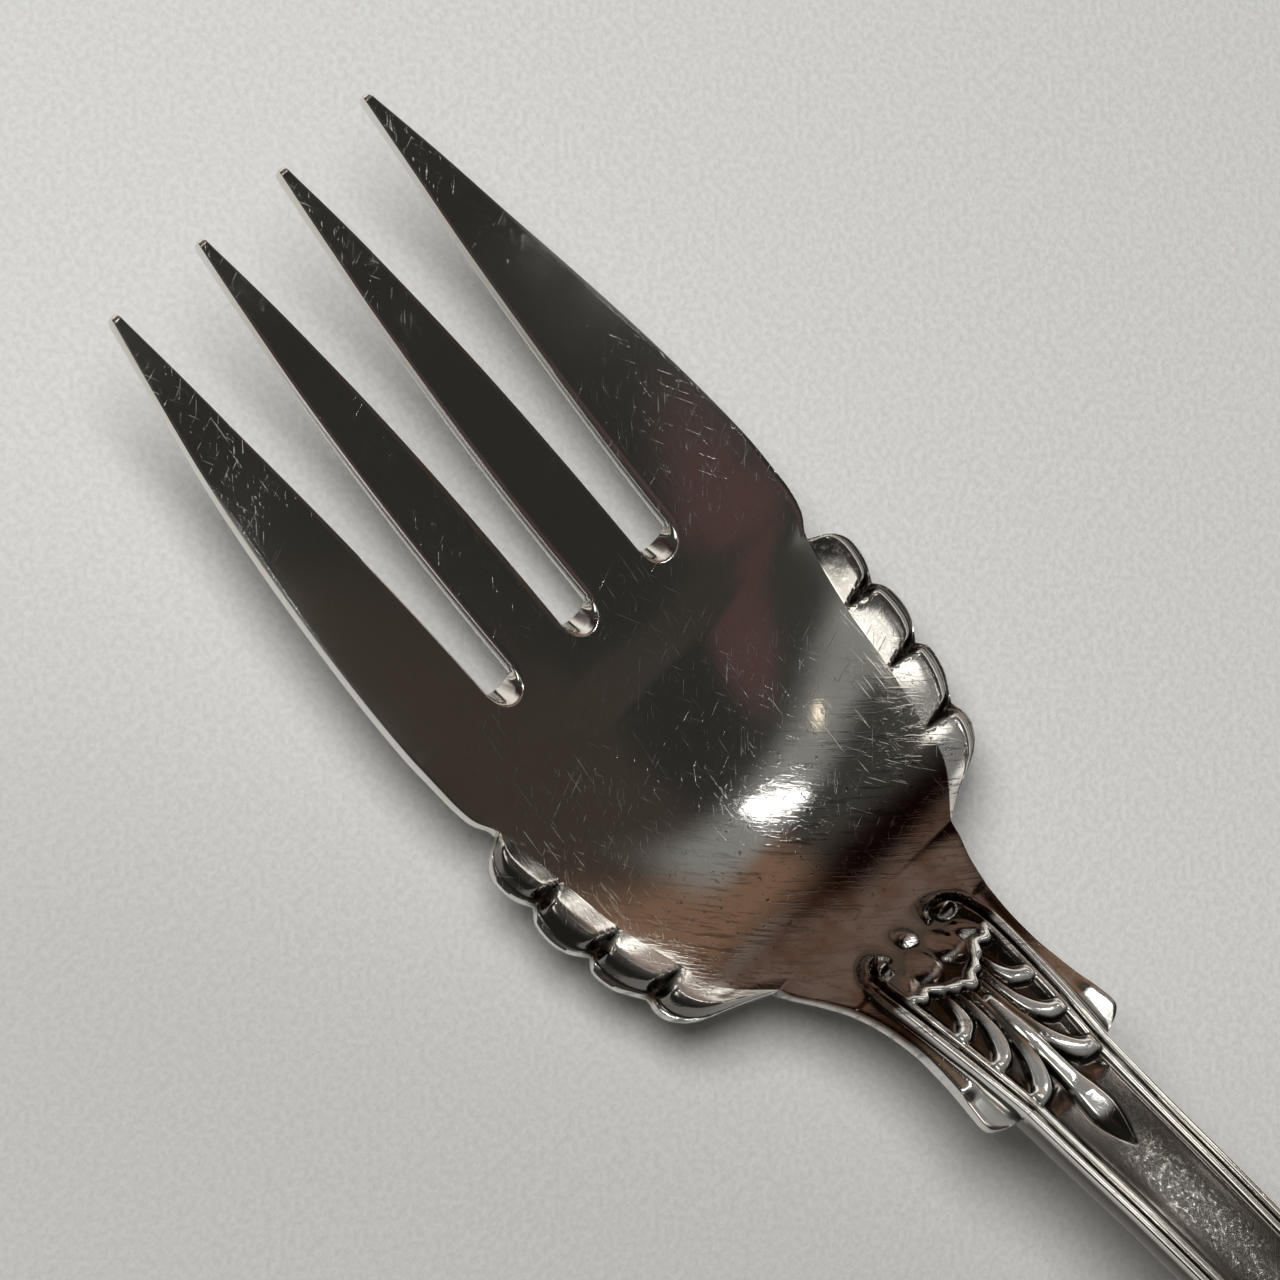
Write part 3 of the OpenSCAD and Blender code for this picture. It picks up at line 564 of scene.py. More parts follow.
def side_grid():
    """Upper and lower grid of one side's lobes: each starts with a steep flank and sinks to the next."""
    top, low = [], []
    open_share = np.clip(ACROSS / 0.85, 0, 1)
    inner = 1 - ramp(ACROSS, 0.4, 0.6)
    outer_groove = 0.8 * between(ACROSS, 0.58, 0.7, 0.89, 0.92)
    for k, u in enumerate(SIDE_U):
        lobe = min(k // LOBE_ROWS, 3)
        a, b = LOBE_START[lobe], LOBE_START[lobe + 1]
        t = ((u - NOTCH_U) / SIDE_LEN - a) / (b - a)
        out = LOBE_OUT * max(0, float(curve(t, LOBE_AT, LOBE_EDGE[lobe])))
        fade = min(1, out / (LOBE_OUT * 0.5))
        lift = fade * LEDGE_H * mix(LEDGE[lobe], LEDGE[lobe + 1], t)
        half = float(half_at(u))
        rim, foot = float(face(u, half)), float(under(u, half))
        body = ramp(t, 0, 0.04 + 0.13 * open_share)
        if lobe == 3:
            body = body * (1 - 0.25 * t)
        else:
            body = body * (1 - ramp(t, 0.97 - 0.2 * open_share, 1)) * (1.08 - 0.16 * t)
        crown = curve(ACROSS, CROWN_AT, CROWN) * LOBE_H * LOBE_CROWN[lobe]
        groove = -GROOVE_D * np.sin(np.pi * np.clip(ACROSS / 0.95, 0, 1)) ** 0.8
        share = np.clip(body, 0, 1)
        w = half + out * ACROSS
        z = rim + lift * ACROSS + fade * (groove * (1 - share) + crown * body)
        edge = rounding(out * (1 - ACROSS), LOBE_EASE) * fade
        thin = mix(rim - foot, LEDGE_T, fade)
        below = mix(foot, rim + lift - thin, ACROSS) + rounding(out * (1 - ACROSS), LOBE_LOW_EASE) * fade
        tarnish_and_painted_shade = np.clip(1 - share * 1.6, 0, 1) * fade * ramp(ACROSS, 0.04, 0.2) + outer_groove
        # the first two lobes are darker on their inner side
        tarnish_and_painted_shade = np.minimum(tarnish_and_painted_shade + LOBE_INNER_DARKENING[lobe] * share * inner, 1)
        scuff = LOBE_SCUFF[lobe] * between(ACROSS, 0, 0.1, 0.45, 0.75)
        # painted highlight on the inner side, mostly on the last two lobes
        top.append(spot(u, w, z - edge, tarnish_and_painted_shade, scuff, LOBE_PAINTED_HIGHLIGHT[lobe] * share * inner))
        low.append(spot(u, w, below))
    return np.array(top), np.array(low)


# Steps across the flange beside the bar, and the number of columns over edge and flange
EDGE_SHARES = np.arange(1, 6) / 6
EDGE_COLUMNS = 3 + len(EDGE_SHARES)


def strip_columns(u):
    """Places across the neck, stem and handle end: edge, flange, then even steps over the bar."""
    half, bar = half_at(u)[:, None], bar_half(u)[:, None]
    bar = np.where(u[:, None] > END_U, half - EASE, bar)
    c = np.minimum(EASE, (half - bar) * 0.5)
    flange = half - np.concatenate([[0, 0.3, 1], 1 + EDGE_SHARES])[None, :] * c
    spread = np.concatenate([np.zeros(3), EDGE_SHARES])[None, :]
    flange = flange - spread * np.maximum(half - bar - 2 * c, 0)
    inner = bar * np.linspace(1, 0, N_HALF + 1 - EDGE_COLUMNS)[None, :]
    side = np.concatenate([flange, inner], 1)
    return np.concatenate([-side, side[:, -2::-1]], 1)


def outline_gap(u, w):
    """Distance from the outline of the handle end."""
    pu, pw = END_OUTLINE
    best = np.full(u.shape, 1e9)
    for a, b, c, d in zip(pu[:-1:4], pw[:-1:4], pu[4::4], pw[4::4]):
        du, dw = c - a, d - b
        t = np.clip(((u - a) * du + (np.abs(w) - b) * dw) / max(du * du + dw * dw, 1e-12), 0, 1)
        best = np.minimum(best, np.hypot(u - a - du * t, np.abs(w) - b - dw * t))
    return best


def strip_wear(u, w, top, lift, depth):
    """How tarnished, scuffed and painted with highlight each place of neck, stem or handle end is; painted
    shade darkens the walls and the stem's panel.
    """
    inner, wide = ramp(depth, 1.2, 1.5), recess(lift, 12)
    tarnish_and_painted_shade = np.clip(np.clip(recess(lift, 4), 0, 1) + 0.8 * np.clip(wide, 0, 1), 0, 1)
    tarnish_and_painted_shade = tarnish_and_painted_shade * np.where(u > END_U - 1, 1, ramp(inside_bar(u, w), -0.35, -0.1))
    scuff = inner * between(u, 70.2, 72, *SCUFF_AND_PAINTED_SHADE_END) * (1 - ramp(np.abs(w), 0.7, 1.6))
    # painted shade: the stem's panel is darkened, most at its sides, to stand for the dark room that it
    # mirrors
    panel = inner * ramp(u, 66.3, 67.5) * (1 - 0.9 * ramp(u, 82, 98))
    panel = panel * (0.84 + 0.14 * ramp(np.abs(w), 0.3, 1.3))
    # painted shade on the walls, standing for the dark shadow beneath that they mirror
    wall = 0.92 * between(u, 64.5, 66, *SCUFF_AND_PAINTED_SHADE_END) * (1 - ramp(depth, 0.02, 0.1))
    tilt = np.gradient(top, axis=0) / np.gradient(u, axis=0)
    level = (1 - ramp(np.abs(tilt - 0.07), 0.15, 0.35)) * ramp(lift, 0.1, 0.25)
    # painted highlight on the level tops of beads and volutes, and on the tops of leaves and spear
    beads = level * between(u, 54, 54.3, 56.6, 57.2) * (1 - ramp(np.abs(w), 3.0, 3.2))
    painted_highlight = np.clip(-wide - 0.3, 0, 1) * between(u, 56.6, 57.2, 68.4, 69.2) + beads
    # tarnish with the painted shade of walls and panel, less where a highlight is painted
    dull = np.clip(np.maximum(np.maximum(tarnish_and_painted_shade, wall), panel) - painted_highlight, 0, 1)
    return dull, scuff, painted_highlight, wall


def strip_grid(rows):
    """Upper and lower grid of the neck, stem or handle end, with a row of points at each given place."""
    u = np.repeat(rows[:, None], 2 * N_HALF + 1, 1)
    w = strip_columns(rows)
    if rows[0] < HEAD_LEN + 0.01:
        palm = COLUMNS[None, :] * half_at(rows)[:, None] / TINES_HALF
        w = mix(palm, w, ramp(rows, HEAD_LEN, HEAD_LEN + 1.6)[:, None])
    depth = half_at(u) - np.abs(w)
    if rows[-1] > END_U + 1:
        depth = mix(depth, outline_gap(u, w), ramp(u, END_U, END_U + 4))
        lift = curve(np.clip(depth - EASE, -0.3, 3), THREAD_AT, THREAD_Z)
    else:
        lift = smooth(raised(u, w))
    soft = ramp(u, HEAD_LEN, HEAD_LEN + 0.8)
    top = face(u, w) + lift - rounding(depth, EASE) * soft
    low = under(u, w) + rounding(depth, STRIP_EASE) * soft
    low = np.minimum(low, top - THIN_EDGE)
    dull, scuff, painted_highlight, wall = strip_wear(u, w, top, lift, depth)
    # the underside carries only the painted shade of its walls
    return spot(u, w, top, dull, scuff, painted_highlight, brown_stain_and_painted_reflection(u) * (1 - painted_highlight)), spot(u, w, low, wall)


# Rows of points, closer together as far as the point of the palmette and round the tip of the handle
POINT_U, TIP_U = 71.6, 141
NECK_ROWS = np.linspace(HEAD_LEN, SHOULDER_U, 168)
STEM_ROWS = np.concatenate([np.linspace(SHOULDER_U, POINT_U, 72)[:-1], np.linspace(POINT_U, END_U, 76)])
END_ROWS = np.concatenate([np.linspace(END_U, TIP_U, 84)[:-1],
                           TIP_U + (FORK_LEN - TIP_U) * np.sin(np.linspace(0, math.pi / 2, 64))])

# Meshes
# shares that the meshes carry: tarnish with painted shade, scuffs, painted highlight, and brown stain with
# painted reflection
WEAR_AND_PAINTED_LIGHT = ("tarnish_and_painted_shade", "scuff", "painted_highlight", "stain_and_painted_reflection")
POINT_SIZE = 3 + len(WEAR_AND_PAINTED_LIGHT)
WELD = 2e-7


def quads(rows, cols, start=0, flip=False):
    """Corners of the faces of one grid."""
    i, j = np.meshgrid(np.arange(rows - 1), np.arange(cols - 1), indexing="ij")
    a = (start + i * cols + j).ravel()
    q = np.stack([a, a + 1, a + cols + 1, a + cols], 1)
    return q[:, ::-1] if flip else q


def shell(top, low, open_start, open_end, open_left=False, open_right=False):
    """Faces of a lofted piece, and for each whether it is seen or lies against the next piece."""
    rows, cols = top.shape[:2]
    n = rows * cols
    points = np.concatenate([top.reshape(-1, POINT_SIZE), low.reshape(-1, POINT_SIZE)])
    i, j = np.arange(rows - 1), np.arange(cols - 1)
    left, right = i * cols, i * cols + cols - 1
    first, last = j, (rows - 1) * cols + j
    parts = [
        (quads(rows, cols), True), (quads(rows, cols, n, True), True),
        (np.stack([left, left + cols, left + cols + n, left + n], 1), not open_left),
        (np.stack([right, right + n, right + cols + n, right + cols], 1), not open_right),
        (np.stack([first, first + n, first + 1 + n, first + 1], 1), not open_start),
        (np.stack([last, last + 1, last + 1 + n, last + n], 1), not open_end),
    ]
    faces = np.concatenate([p for p, _ in parts])
    seen = np.concatenate([np.full(len(p), s) for p, s in parts])
    return points, faces, seen


def mirrored(grid):
    """The same grids on the other side of the middle line."""
    flip = np.array([1, -1] + [1] * (POINT_SIZE - 2))
    return tuple(g[:, ::-1] * flip for g in grid)


def build_shells():
    """Points and faces of the ten regions."""
    shells = {}
    tines = {"tine_inner": tine_grid(inner_tine, INNER_COLUMNS),
             "tine_outer": tine_grid(outer_tine, OUTER_COLUMNS)}
    for kind, grid in tines.items():
        shells[kind + "_left"] = shell(*grid, False, True)
        shells[kind + "_right"] = shell(*mirrored(grid), False, True)
    palm = palm_grid()
    shells["palm"] = shell(*palm, False, True)
    lobes = side_grid()
    shells["scallops_left"] = shell(*lobes, True, True, open_left=True)
    shells["scallops_right"] = shell(*mirrored(lobes), True, True, open_right=True)
    shells["neck"] = shell(*strip_grid(NECK_ROWS), True, True)
    shells["stem"] = shell(*strip_grid(STEM_ROWS), True, True)
    shells["handle_end"] = shell(*strip_grid(END_ROWS), True, False)
    return shells


def add_mesh(name, points, faces):
    """Object with these points and faces, and its shares of wear and painted light as attributes for the
    metal.
    """
    mesh = bpy.data.meshes.new(name)
    mesh.from_pydata(points[:, :3].tolist(), [], faces)
    mesh.update()
    for layer, wear in enumerate(WEAR_AND_PAINTED_LIGHT, start=3):
        values = points[:, layer].astype(np.float32)
        mesh.attributes.new(wear, "FLOAT", "POINT").data.foreach_set("value", values)
    piece = bpy.data.objects.new(name, mesh)
    bpy.context.scene.collection.objects.link(piece)
    return piece


def tidy_faces(faces, keys):
    """Quads as lists of distinct corners, without those that have no area."""
    kept = []
    for f in keys[faces]:
        corners = [int(a) for a, b in zip(f, np.roll(f, 1)) if a != b]
        if len(set(corners)) == len(corners) and len(corners) > 2:
            kept.append(corners)
    return kept


def build_fork():
    """One welded skin gives the normals; each region is then a closed piece of its own."""
    shells = build_shells()
    start, blocks = 0, {}
    for name, (points, _, _) in shells.items():
        blocks[name] = start
        start += len(points)
    every = np.concatenate([s[0] for s in shells.values()])
    places = np.round(every[:, :3] / WELD).astype(np.int64)
    _, first, keys = np.unique(places, axis=0, return_index=True, return_inverse=True)
    keys = keys.ravel()
    points = every[first]
    skin_faces, owners = [], {}
    for name, (_, faces, seen) in shells.items():
        kept = tidy_faces(faces[seen] + blocks[name], keys)
        owners[name] = (len(skin_faces), kept)
        skin_faces += kept
    skin = add_mesh("skin", points, skin_faces)
    bpy.ops.object.select_all(action="DESELECT")
    skin.select_set(True)
    bpy.context.view_layer.objects.active = skin
    bpy.ops.object.shade_smooth_by_angle(angle=math.radians(42))
    normals = np.empty(len(skin.data.loops) * 3)
    skin.data.corner_normals.foreach_get("vector", normals)
    normals = normals.reshape(-1, 3)
    starts = np.array([p.loop_start for p in skin.data.polygons])
    made = {}
    for name, (_, faces, seen) in shells.items():
        begin, kept = owners[name]
        hidden = tidy_faces(faces[~seen] + blocks[name], keys)
        used = sorted({v for f in kept + hidden for v in f})
        number = {v: k for k, v in enumerate(used)}
        local = [[number[v] for v in f] for f in kept + hidden]
        piece = add_mesh(name + "_silver", points[used], local)
        piece.data.polygons.foreach_set("use_smooth", [True] * len(local))
        corners = [normals[starts[begin + k] + c] for k, f in enumerate(kept) for c in range(len(f))]
        flat = [piece.data.polygons[len(kept) + k].normal for k, f in enumerate(hidden) for _ in f]
        piece.data.normals_split_custom_set([tuple(v) for v in corners] + [tuple(v) for v in flat])
        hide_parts(name)
        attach(piece, "root")
        made[name] = piece
    bpy.data.objects.remove(skin)
    return made


pieces = build_fork()


# Silver
def add_socket(group, way, name, kind, value=None):
    """Input or output of a node group."""
    socket = group.interface.new_socket(name, in_out=way, socket_type=kind)
    if value is not None:
        socket.default_value = value
    return socket


def join(tree, pairs):
    """Links for pairs of sockets."""
    for a, b in pairs:
        tree.links.new(a, b)


def math_node(tree, how, a, b=None, clamp=False):
    """Result of a calculation with sockets or numbers."""
    made = tree.nodes.new("ShaderNodeMath")
    made.operation = how
    made.use_clamp = clamp
    for k, v in enumerate((a, b)):
        if v is None:
            continue
        if isinstance(v, (int, float)):
            made.inputs[k].default_value = v
        else:
            tree.links.new(v, made.inputs[k])
    return made.outputs[0]


def product(tree, a, b):
    """Product of two sockets or numbers."""
    return math_node(tree, "MULTIPLY", a, b)


def vector_node(tree, how, vector, value=None):
    """Calculation with a vector socket and a fixed vector."""
    made = tree.nodes.new("ShaderNodeVectorMath")
    made.operation = how
    tree.links.new(vector, made.inputs[0])
    if value is not None:
        made.inputs[1].default_value = value
    return made


def stretched(tree, vector, angle, scale):
    """The places turned in the plane of the table and then scaled, for streaks in one direction."""
    turn = tree.nodes.new("ShaderNodeVectorRotate")
    turn.rotation_type = "Z_AXIS"
    turn.inputs["Angle"].default_value = angle
    tree.links.new(vector, turn.inputs["Vector"])
    return vector_node(tree, "MULTIPLY", turn.outputs[0], scale).outputs[0]


def range_node(tree, value, low, high, out_low=0.0, out_high=1.0):
    """Soft step of a socket from one range to another."""
    made = tree.nodes.new("ShaderNodeMapRange")
    made.interpolation_type = "SMOOTHSTEP"
    tree.links.new(value, made.inputs["Value"])
    made.inputs["From Min"].default_value = low
    made.inputs["From Max"].default_value = high
    made.inputs["To Min"].default_value = out_low
    made.inputs["To Max"].default_value = out_high
    return made.outputs["Result"]


def blend(tree, share, under_colour, over_colour):
    """One colour laid over another by a share; either colour may be a socket."""
    made = tree.nodes.new("ShaderNodeMix")
    made.data_type = "RGBA"
    tree.links.new(share, made.inputs["Factor"])
    for socket, colour in ((made.inputs[6], under_colour), (made.inputs[7], over_colour)):
        if isinstance(colour, tuple):
            socket.default_value = (*colour, 1)
        else:
            tree.links.new(colour, socket)
    return made.outputs[2]


def scratch_group():
    """Fine scratches: thin broken lines in one main direction, bent a little."""
    group = bpy.data.node_groups.new("scratches", "ShaderNodeTree")
    add_socket(group, "INPUT", "Vector", "NodeSocketVector")
    add_socket(group, "INPUT", "Turn", "NodeSocketFloat", 0.0)
    add_socket(group, "INPUT", "Fineness", "NodeSocketFloat", 1.0)
    add_socket(group, "INPUT", "Amount", "NodeSocketFloat", 0.5)
    add_socket(group, "OUTPUT", "Lines", "NodeSocketFloat")
    start, end = group.nodes.new("NodeGroupInput"), group.nodes.new("NodeGroupOutput")
    turn = group.nodes.new("ShaderNodeVectorRotate")
    turn.rotation_type = "Z_AXIS"
    join(group, [(start.outputs["Vector"], turn.inputs["Vector"]),
                 (start.outputs["Turn"], turn.inputs["Angle"])])
    wobble = group.nodes.new("ShaderNodeTexNoise")
    wobble.inputs["Scale"].default_value = 90
    wobble.inputs["Detail"].default_value = 1
    group.links.new(turn.outputs[0], wobble.inputs["Vector"])
    push = vector_node(group, "MULTIPLY_ADD", wobble.outputs["Color"], (0.0012, 0.0012, 0.0))
    group.links.new(turn.outputs[0], push.inputs[2])
    stretch = vector_node(group, "MULTIPLY", push.outputs[0], (260.0, 9000.0, 260.0))
    size = vector_node(group, "SCALE", stretch.outputs[0])
    group.links.new(start.outputs["Fineness"], size.inputs["Scale"])
    lines = group.nodes.new("ShaderNodeTexNoise")
    lines.inputs["Scale"].default_value = 1.0
    lines.inputs["Detail"].default_value = 2.0
    lines.inputs["Roughness"].default_value = 0.6
    group.links.new(size.outputs[0], lines.inputs["Vector"])
    low = math_node(group, "SUBTRACT", 0.86, product(group, start.outputs["Amount"], 0.3))
    over = math_node(group, "SUBTRACT", lines.outputs["Fac"], low)
    sharp = math_node(group, "MULTIPLY", over, 14.0, clamp=True)
    group.links.new(sharp, end.inputs["Lines"])
    return group


def attribute(tree, name):
    """One of the shares of wear and painted light that the meshes carry."""
    made = tree.nodes.new("ShaderNodeAttribute")
    made.attribute_name = name
    return made.outputs["Fac"]


def noise(tree, vector, scale, detail=3, roughness=0.5):
    """Cloudy pattern from 0 to 1."""
    made = tree.nodes.new("ShaderNodeTexNoise")
    made.inputs["Scale"].default_value = scale
    made.inputs["Detail"].default_value = detail
    made.inputs["Roughness"].default_value = roughness
    tree.links.new(vector, made.inputs["Vector"])
    return made.outputs["Fac"]


SILVER = (0.8, 0.78, 0.74)
WARM_SILVER = (0.74, 0.71, 0.66)
# colour of the brown stain with its painted reflection
STAIN_AND_REFLECTION_COLOUR = (0.088, 0.048, 0.033)
# colour of the dark tarnish and of the painted shade
TARNISH_AND_SHADE_COLOUR = (0.06, 0.045, 0.034)
STREAK_TURN = -0.765


def all_scratches(tree, place):
    """Four sets of scratches with their own direction, fineness and amount, in patches."""
    scratches = scratch_group()
    total = None
    for turn, fine, amount in ((0.1, 1.2, 0.6), (-0.5, 1.6, 0.58), (1.2, 1.5, 0.57), (0.75, 2.1, 0.6)):
        one = tree.nodes.new("ShaderNodeGroup")
        one.node_tree = scratches
        one.inputs["Turn"].default_value = turn
        one.inputs["Fineness"].default_value = fine
        one.inputs["Amount"].default_value = amount
        tree.links.new(place, one.inputs["Vector"])
        total = one.outputs[0] if total is None else math_node(tree, "MAXIMUM", total, one.outputs[0])
    return product(tree, total, range_node(tree, noise(tree, place, 90), 0.36, 0.58))


def dark_pits(tree, place):
    """Pits and dark streaks, mostly where the bowl runs up to the neck."""
    split = tree.nodes.new("ShaderNodeSeparateXYZ")
    tree.links.new(place, split.inputs[0])
    along = split.outputs[0]
    bowl_end = product(tree, range_node(tree, along, 0.036, 0.027), range_node(tree, along, 0.012, 0.018))
    share = math_node(tree, "ADD", product(tree, bowl_end, 0.8), 0.12)
    pits = product(tree, range_node(tree, noise(tree, place, 2300, 3, 0.7), 0.6, 0.7), share)
    streaks = noise(tree, stretched(tree, place, STREAK_TURN, (420, 3600, 420)), 1.0, 3, 0.65)
    streaks = product(tree, range_node(tree, streaks, 0.5, 0.66, 0, 0.6), bowl_end)
    return math_node(tree, "MAXIMUM", pits, streaks)


def silver_finish():
    """Old polished silver: fine scratches, scuffs, pits, a brown stain that is partly a painted reflection,
    dark tarnish in the hollows with painted shade on walls and on the stem's panel, and painted highlights on
    raised tops.
    """
    mat = bpy.data.materials.new("worn silver")
    mat.use_nodes = True
    tree = mat.node_tree
    shader = tree.nodes["Principled BSDF"]
    place = tree.nodes.new("ShaderNodeTexCoord").outputs["Object"]
    tarnish_and_painted_shade, scuff, painted_highlight, stain_and_painted_reflection = (attribute(tree, name) for name in WEAR_AND_PAINTED_LIGHT)
    scratches, pits = all_scratches(tree, place), dark_pits(tree, place)
    polish = noise(tree, stretched(tree, place, 0.12, (420, 5200, 420)), 1.0, 3, 0.7)
    cloud = noise(tree, place, 160, 4)
    worn = product(tree, scuff, range_node(tree, noise(tree, place, 3400, 4, 0.7), 0.5, 0.66))

    # dark tarnish in the hollows, the painted shade of walls and panel that rides in the same share, and pits
    dark = math_node(tree, "MAXIMUM", product(tree, tarnish_and_painted_shade, 0.92), pits)
    dark = math_node(tree, "SUBTRACT", dark, product(tree, worn, 0.6), clamp=True)
    # brown stain with its painted reflection, mottled
    brown = product(tree, stain_and_painted_reflection, range_node(tree, noise(tree, place, 380, 4, 0.6), 0.3, 0.62, 1, 0.95))
    colour = blend(tree, range_node(tree, cloud, 0.35, 0.7), SILVER, WARM_SILVER)
    colour = blend(tree, brown, colour, STAIN_AND_REFLECTION_COLOUR)
    colour = blend(tree, dark, colour, TARNISH_AND_SHADE_COLOUR)
    tree.links.new(colour, shader.inputs["Base Color"])

    dull = math_node(tree, "ADD", product(tree, scratches, 0.13), product(tree, worn, 0.2))
    # painted highlight: the shiny tops lose some metal, so that their pale colour shows under the lamps
    dull = math_node(tree, "MAXIMUM", dull, product(tree, painted_highlight, 0.22))
    tree.links.new(math_node(tree, "SUBTRACT", 1.0, dull), shader.inputs["Metallic"])
    rough = range_node(tree, cloud, 0.35, 0.7, 0.08, 0.12)
    for wear, gain in ((scratches, 0.22), (scuff, 0.08), (dark, 0.06)):
        rough = math_node(tree, "ADD", rough, product(tree, wear, gain))
    tree.links.new(rough, shader.inputs["Roughness"])

    grit = product(tree, scuff, noise(tree, place, 5200, 3, 0.6))
    height = product(tree, scratches, -0.3)
    for relief, gain in ((polish, 0.26), (grit, 0.8)):
        height = math_node(tree, "ADD", height, product(tree, relief, gain))
    height = math_node(tree, "SUBTRACT", height, product(tree, pits, 0.6))
    bump = tree.nodes.new("ShaderNodeBump")
    bump.inputs["Strength"].default_value = 0.5
    bump.inputs["Distance"].default_value = 0.00002
    join(tree, [(height, bump.inputs["Height"]), (bump.outputs[0], shader.inputs["Normal"])])
    return mat


silver = silver_finish()
for piece in pieces.values():
    piece.data.materials.append(silver)

# Floor, lamps and room
TABLE_DARK, TABLE_PALE = (0.585, 0.579, 0.559), (0.652, 0.647, 0.627)
TABLE_SHADE = (0.3, 0.296, 0.286)
TABLE_FAR = (0.62, 0.612, 0.59, 1)
SHADE_WAY = (-0.45, 0.89, 0)


def pale_floor():
    """Pale table top with a fine grain, with painted shade on one side of the fork, and plain far away."""
    bpy.ops.object.select_all(action="DESELECT")
    bpy.ops.mesh.primitive_circle_add(vertices=96, radius=3, fill_type="NGON", location=(0, 0, 0))
    floor = bpy.context.object
    floor.name = "floor"
    mat = bpy.data.materials.new("pale table top")
    mat.use_nodes = True
    tree = mat.node_tree
    shader = tree.nodes["Principled BSDF"]
    shader.inputs["Roughness"].default_value = 0.6
    shader.inputs["Specular IOR Level"].default_value = 0.2
    place = tree.nodes.new("ShaderNodeTexCoord").outputs["Object"]
    grain = noise(tree, place, 2600, 2)
    away = vector_node(tree, "LENGTH", place).outputs["Value"]
    across = vector_node(tree, "DOT_PRODUCT", place, SHADE_WAY).outputs["Value"]
    near = range_node(tree, away, 0.06, 0.16, 1, 0)
    # painted shade on the table near the fork, darker to one side
    shade = product(tree, range_node(tree, across, -0.024, 0.012, 0, 0.36), near)
    colour = blend(tree, range_node(tree, grain, 0.3, 0.7), TABLE_DARK, TABLE_PALE)
    tree.links.new(blend(tree, shade, colour, TABLE_SHADE), shader.inputs["Base Color"])
    path = tree.nodes.new("ShaderNodeLightPath")
    seen = math_node(tree, "MAXIMUM", path.outputs["Is Camera Ray"], path.outputs["Is Glossy Ray"])
    seen = math_node(tree, "MAXIMUM", seen, path.outputs["Is Transmission Ray"])
    far = product(tree, range_node(tree, away, 0.1, 0.3), seen)
    pale = tree.nodes.new("ShaderNodeEmission")
    pale.inputs["Color"].default_value = TABLE_FAR
    both = tree.nodes.new("ShaderNodeMixShader")
    join(tree, [(far, both.inputs[0]), (shader.outputs[0], both.inputs[1]), (pale.outputs[0], both.inputs[2]),
                (both.outputs[0], tree.nodes["Material Output"].inputs["Surface"])])
    bump = tree.nodes.new("ShaderNodeBump")
    bump.inputs["Strength"].default_value = 0.55
    bump.inputs["Distance"].default_value = 0.00012
    join(tree, [(grain, bump.inputs["Height"]), (bump.outputs[0], shader.inputs["Normal"])])
    floor.data.materials.append(mat)
    return floor


def aim_lamp(name, toward, along, distance, size, energy):
    """A soft oval lamp that looks at the fork from a direction, in metres and watts."""
    data = bpy.data.lights.new(name, "AREA")
    data.shape = "ELLIPSE"
    data.size, data.size_y = size
    data.energy = energy
    toward = Vector(toward).normalized()
    long_way = (Vector(along) - toward * toward.dot(Vector(along))).normalized()
    turn = Matrix((long_way.cross(toward), long_way, toward)).transposed().to_4x4()
    lamp = bpy.data.objects.new(name, data)
    lamp.matrix_world = Matrix.Translation(LAMP_AIM + toward * distance) @ turn
    bpy.context.scene.collection.objects.link(lamp)
    return lamp


def soft_lamps():
    """A broad lamp and a wide fill lamp light the table; the metal mirrors only a small dim strip lamp."""
    broad = aim_lamp("broad lamp", (0.38, 0.17, 1), (0, 1, 0), 0.42, (0.3, 0.3), 1.93)
    fill = aim_lamp("fill lamp", (0, 0, 1), (0, 1, 0), 0.7, (1.8, 1.8), 0.95)
    strip = aim_lamp("strip lamp", (0.05, -0.225, 0.97), (0.38, 0.92, 0.2), 0.6, (0.015, 0.23), 0.11)
    for lamp in (broad, fill):
        lamp.visible_glossy = False
    for lamp in (broad, fill, strip):
        lamp.visible_camera = False


def patch(tree, direction, way, inner, outer):
    """Share of a round patch of the room, from 1 inside one angle to 0 outside the other, in degrees."""
    dot = vector_node(tree, "DOT_PRODUCT", direction, Vector(way).normalized()).outputs["Value"]
    return range_node(tree, dot, math.cos(math.radians(outer)), math.cos(math.radians(inner)))


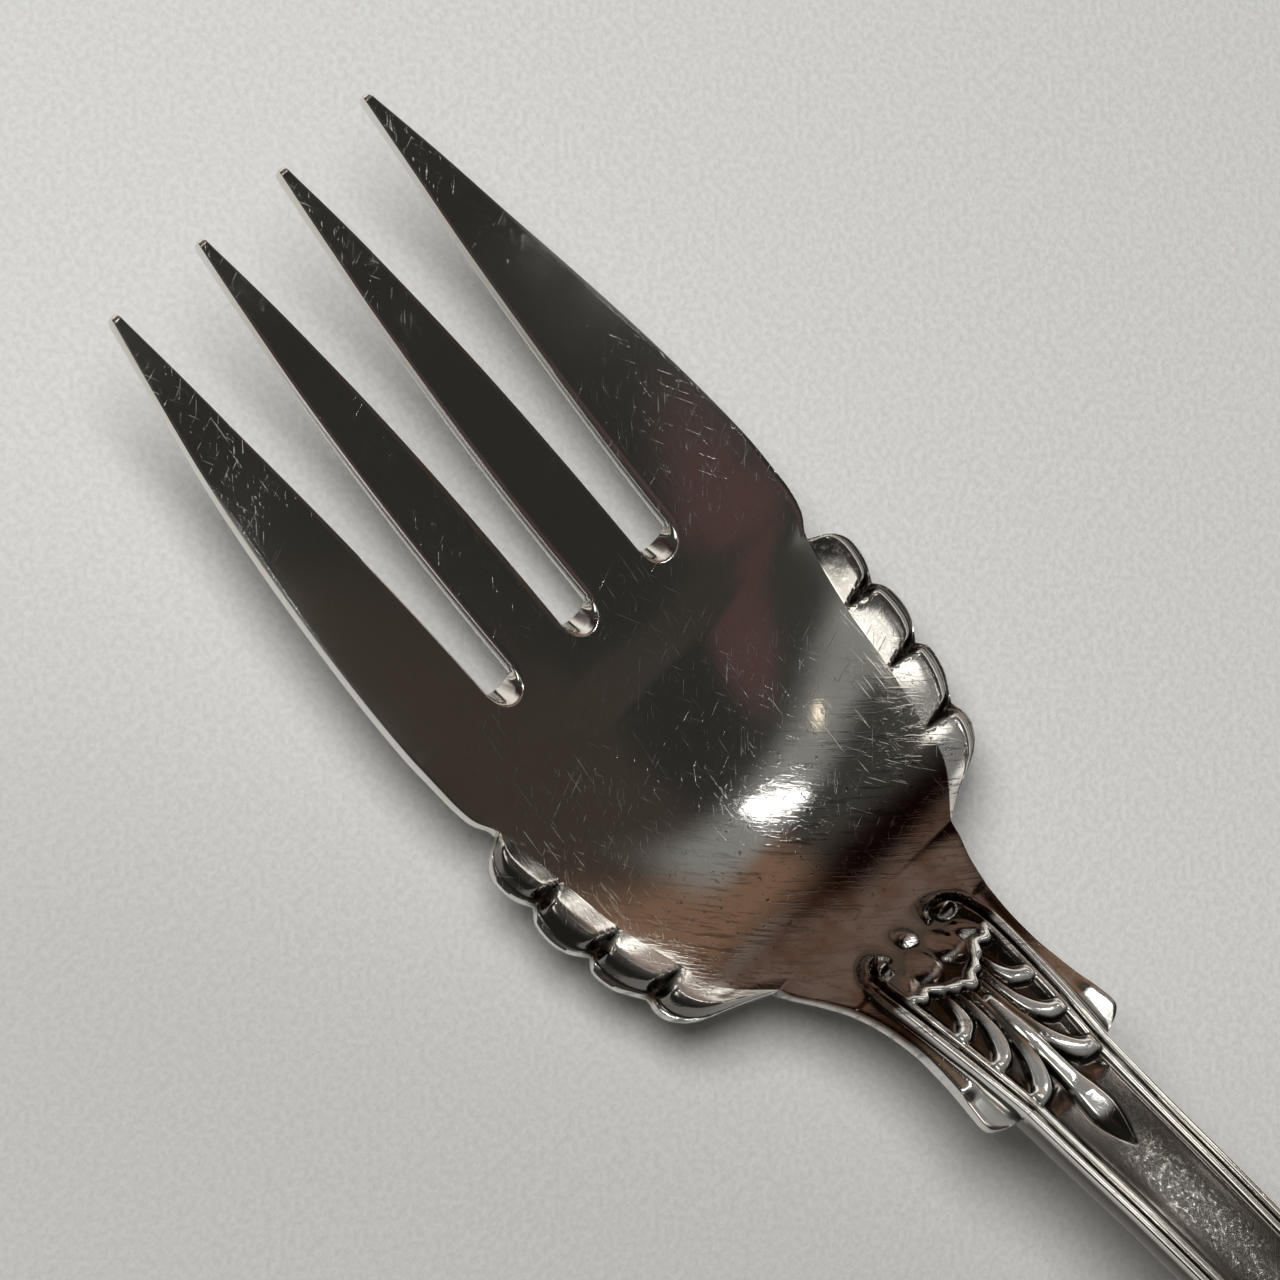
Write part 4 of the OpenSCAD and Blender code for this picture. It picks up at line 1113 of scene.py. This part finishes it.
# Round patches of the room: direction, inner and outer angle, colour
DIM_PATCHES = (
    ((-0.24, -0.34, 0.9), 4, 20, (0.027, 0.027, 0.024)),
    ((0.8, 0, 0.6), 10, 32, (0.036, 0.021, 0.02)),
    ((-0.28, 0.03, 0.96), 4, 10, (0.085, 0.052, 0.05)),
)
WINDOW = ((0.12, 0.66, 0.74), 9, 13)
LAMP_GLOW = ((0.01, 0.18, 0.98), 0.7, 1.6)
PALE, WARM_GLOW, WARM_WALL = (1.9, 1.85, 1.75), (2.6, 2.3, 1.8), (0.2, 0.118, 0.078)
GREY_STRIP, AHEAD_GLOW, AHEAD_WAY = (0.25, 0.25, 0.24), (0.92, 0.89, 0.84), (0.93, -0.37, 0)


def dark_room():
    """The room that the metal mirrors.

    It is dark above, with a dim strip and a warm wall to one side, a pale window, a pale band low behind
    the handle, a small warm lamp, and a bright part ahead of the tines.
    """
    world = bpy.data.worlds.new("dark room")
    bpy.context.scene.world = world
    world.use_nodes = True
    tree = world.node_tree
    direction = tree.nodes.new("ShaderNodeTexCoord").outputs["Generated"]
    split = tree.nodes.new("ShaderNodeSeparateXYZ")
    tree.links.new(direction, split.inputs[0])
    across, along, height = split.outputs
    off = math_node(tree, "ABSOLUTE", math_node(tree, "SUBTRACT", across, 0.04))
    strip = product(tree, range_node(tree, off, 0.03, 0.17, 1, 0), range_node(tree, height, 0.45, 0.75))
    warm = product(tree, range_node(tree, across, -0.05, 0.12), range_node(tree, along, -0.5, -0.22, 1, 0))
    warm = product(tree, warm, range_node(tree, across, 0.5, 0.95, 1, 0.45))
    low = range_node(tree, height, 0.11, 0.17, 1, 0)
    band = product(tree, range_node(tree, along, -0.9, -0.8, 1, 0), low)
    front = vector_node(tree, "DOT_PRODUCT", direction, AHEAD_WAY).outputs["Value"]
    ahead = product(tree, range_node(tree, height, 0.5, 0.75, 1, 0), range_node(tree, front, 0.62, 0.86))
    colour = blend(tree, range_node(tree, along, -0.75, 0.1), (0.05, 0.04, 0.033), (0.044, 0.042, 0.037))
    for way, inner, outer, tint in DIM_PATCHES:
        colour = blend(tree, patch(tree, direction, way, inner, outer), colour, tint)
    for share, tint in (
        (warm, WARM_WALL), (strip, GREY_STRIP), (patch(tree, direction, *WINDOW), PALE), (band, PALE),
        (patch(tree, direction, *LAMP_GLOW), WARM_GLOW), (ahead, AHEAD_GLOW),
    ):
        colour = blend(tree, share, colour, tint)
    back = tree.nodes["Background"]
    tree.links.new(colour, back.inputs["Color"])
    back.inputs["Strength"].default_value = 1.0
    world.cycles_visibility.diffuse = False


pale_floor()
soft_lamps()
dark_room()
bpy.context.scene.view_settings.view_transform = "Standard"
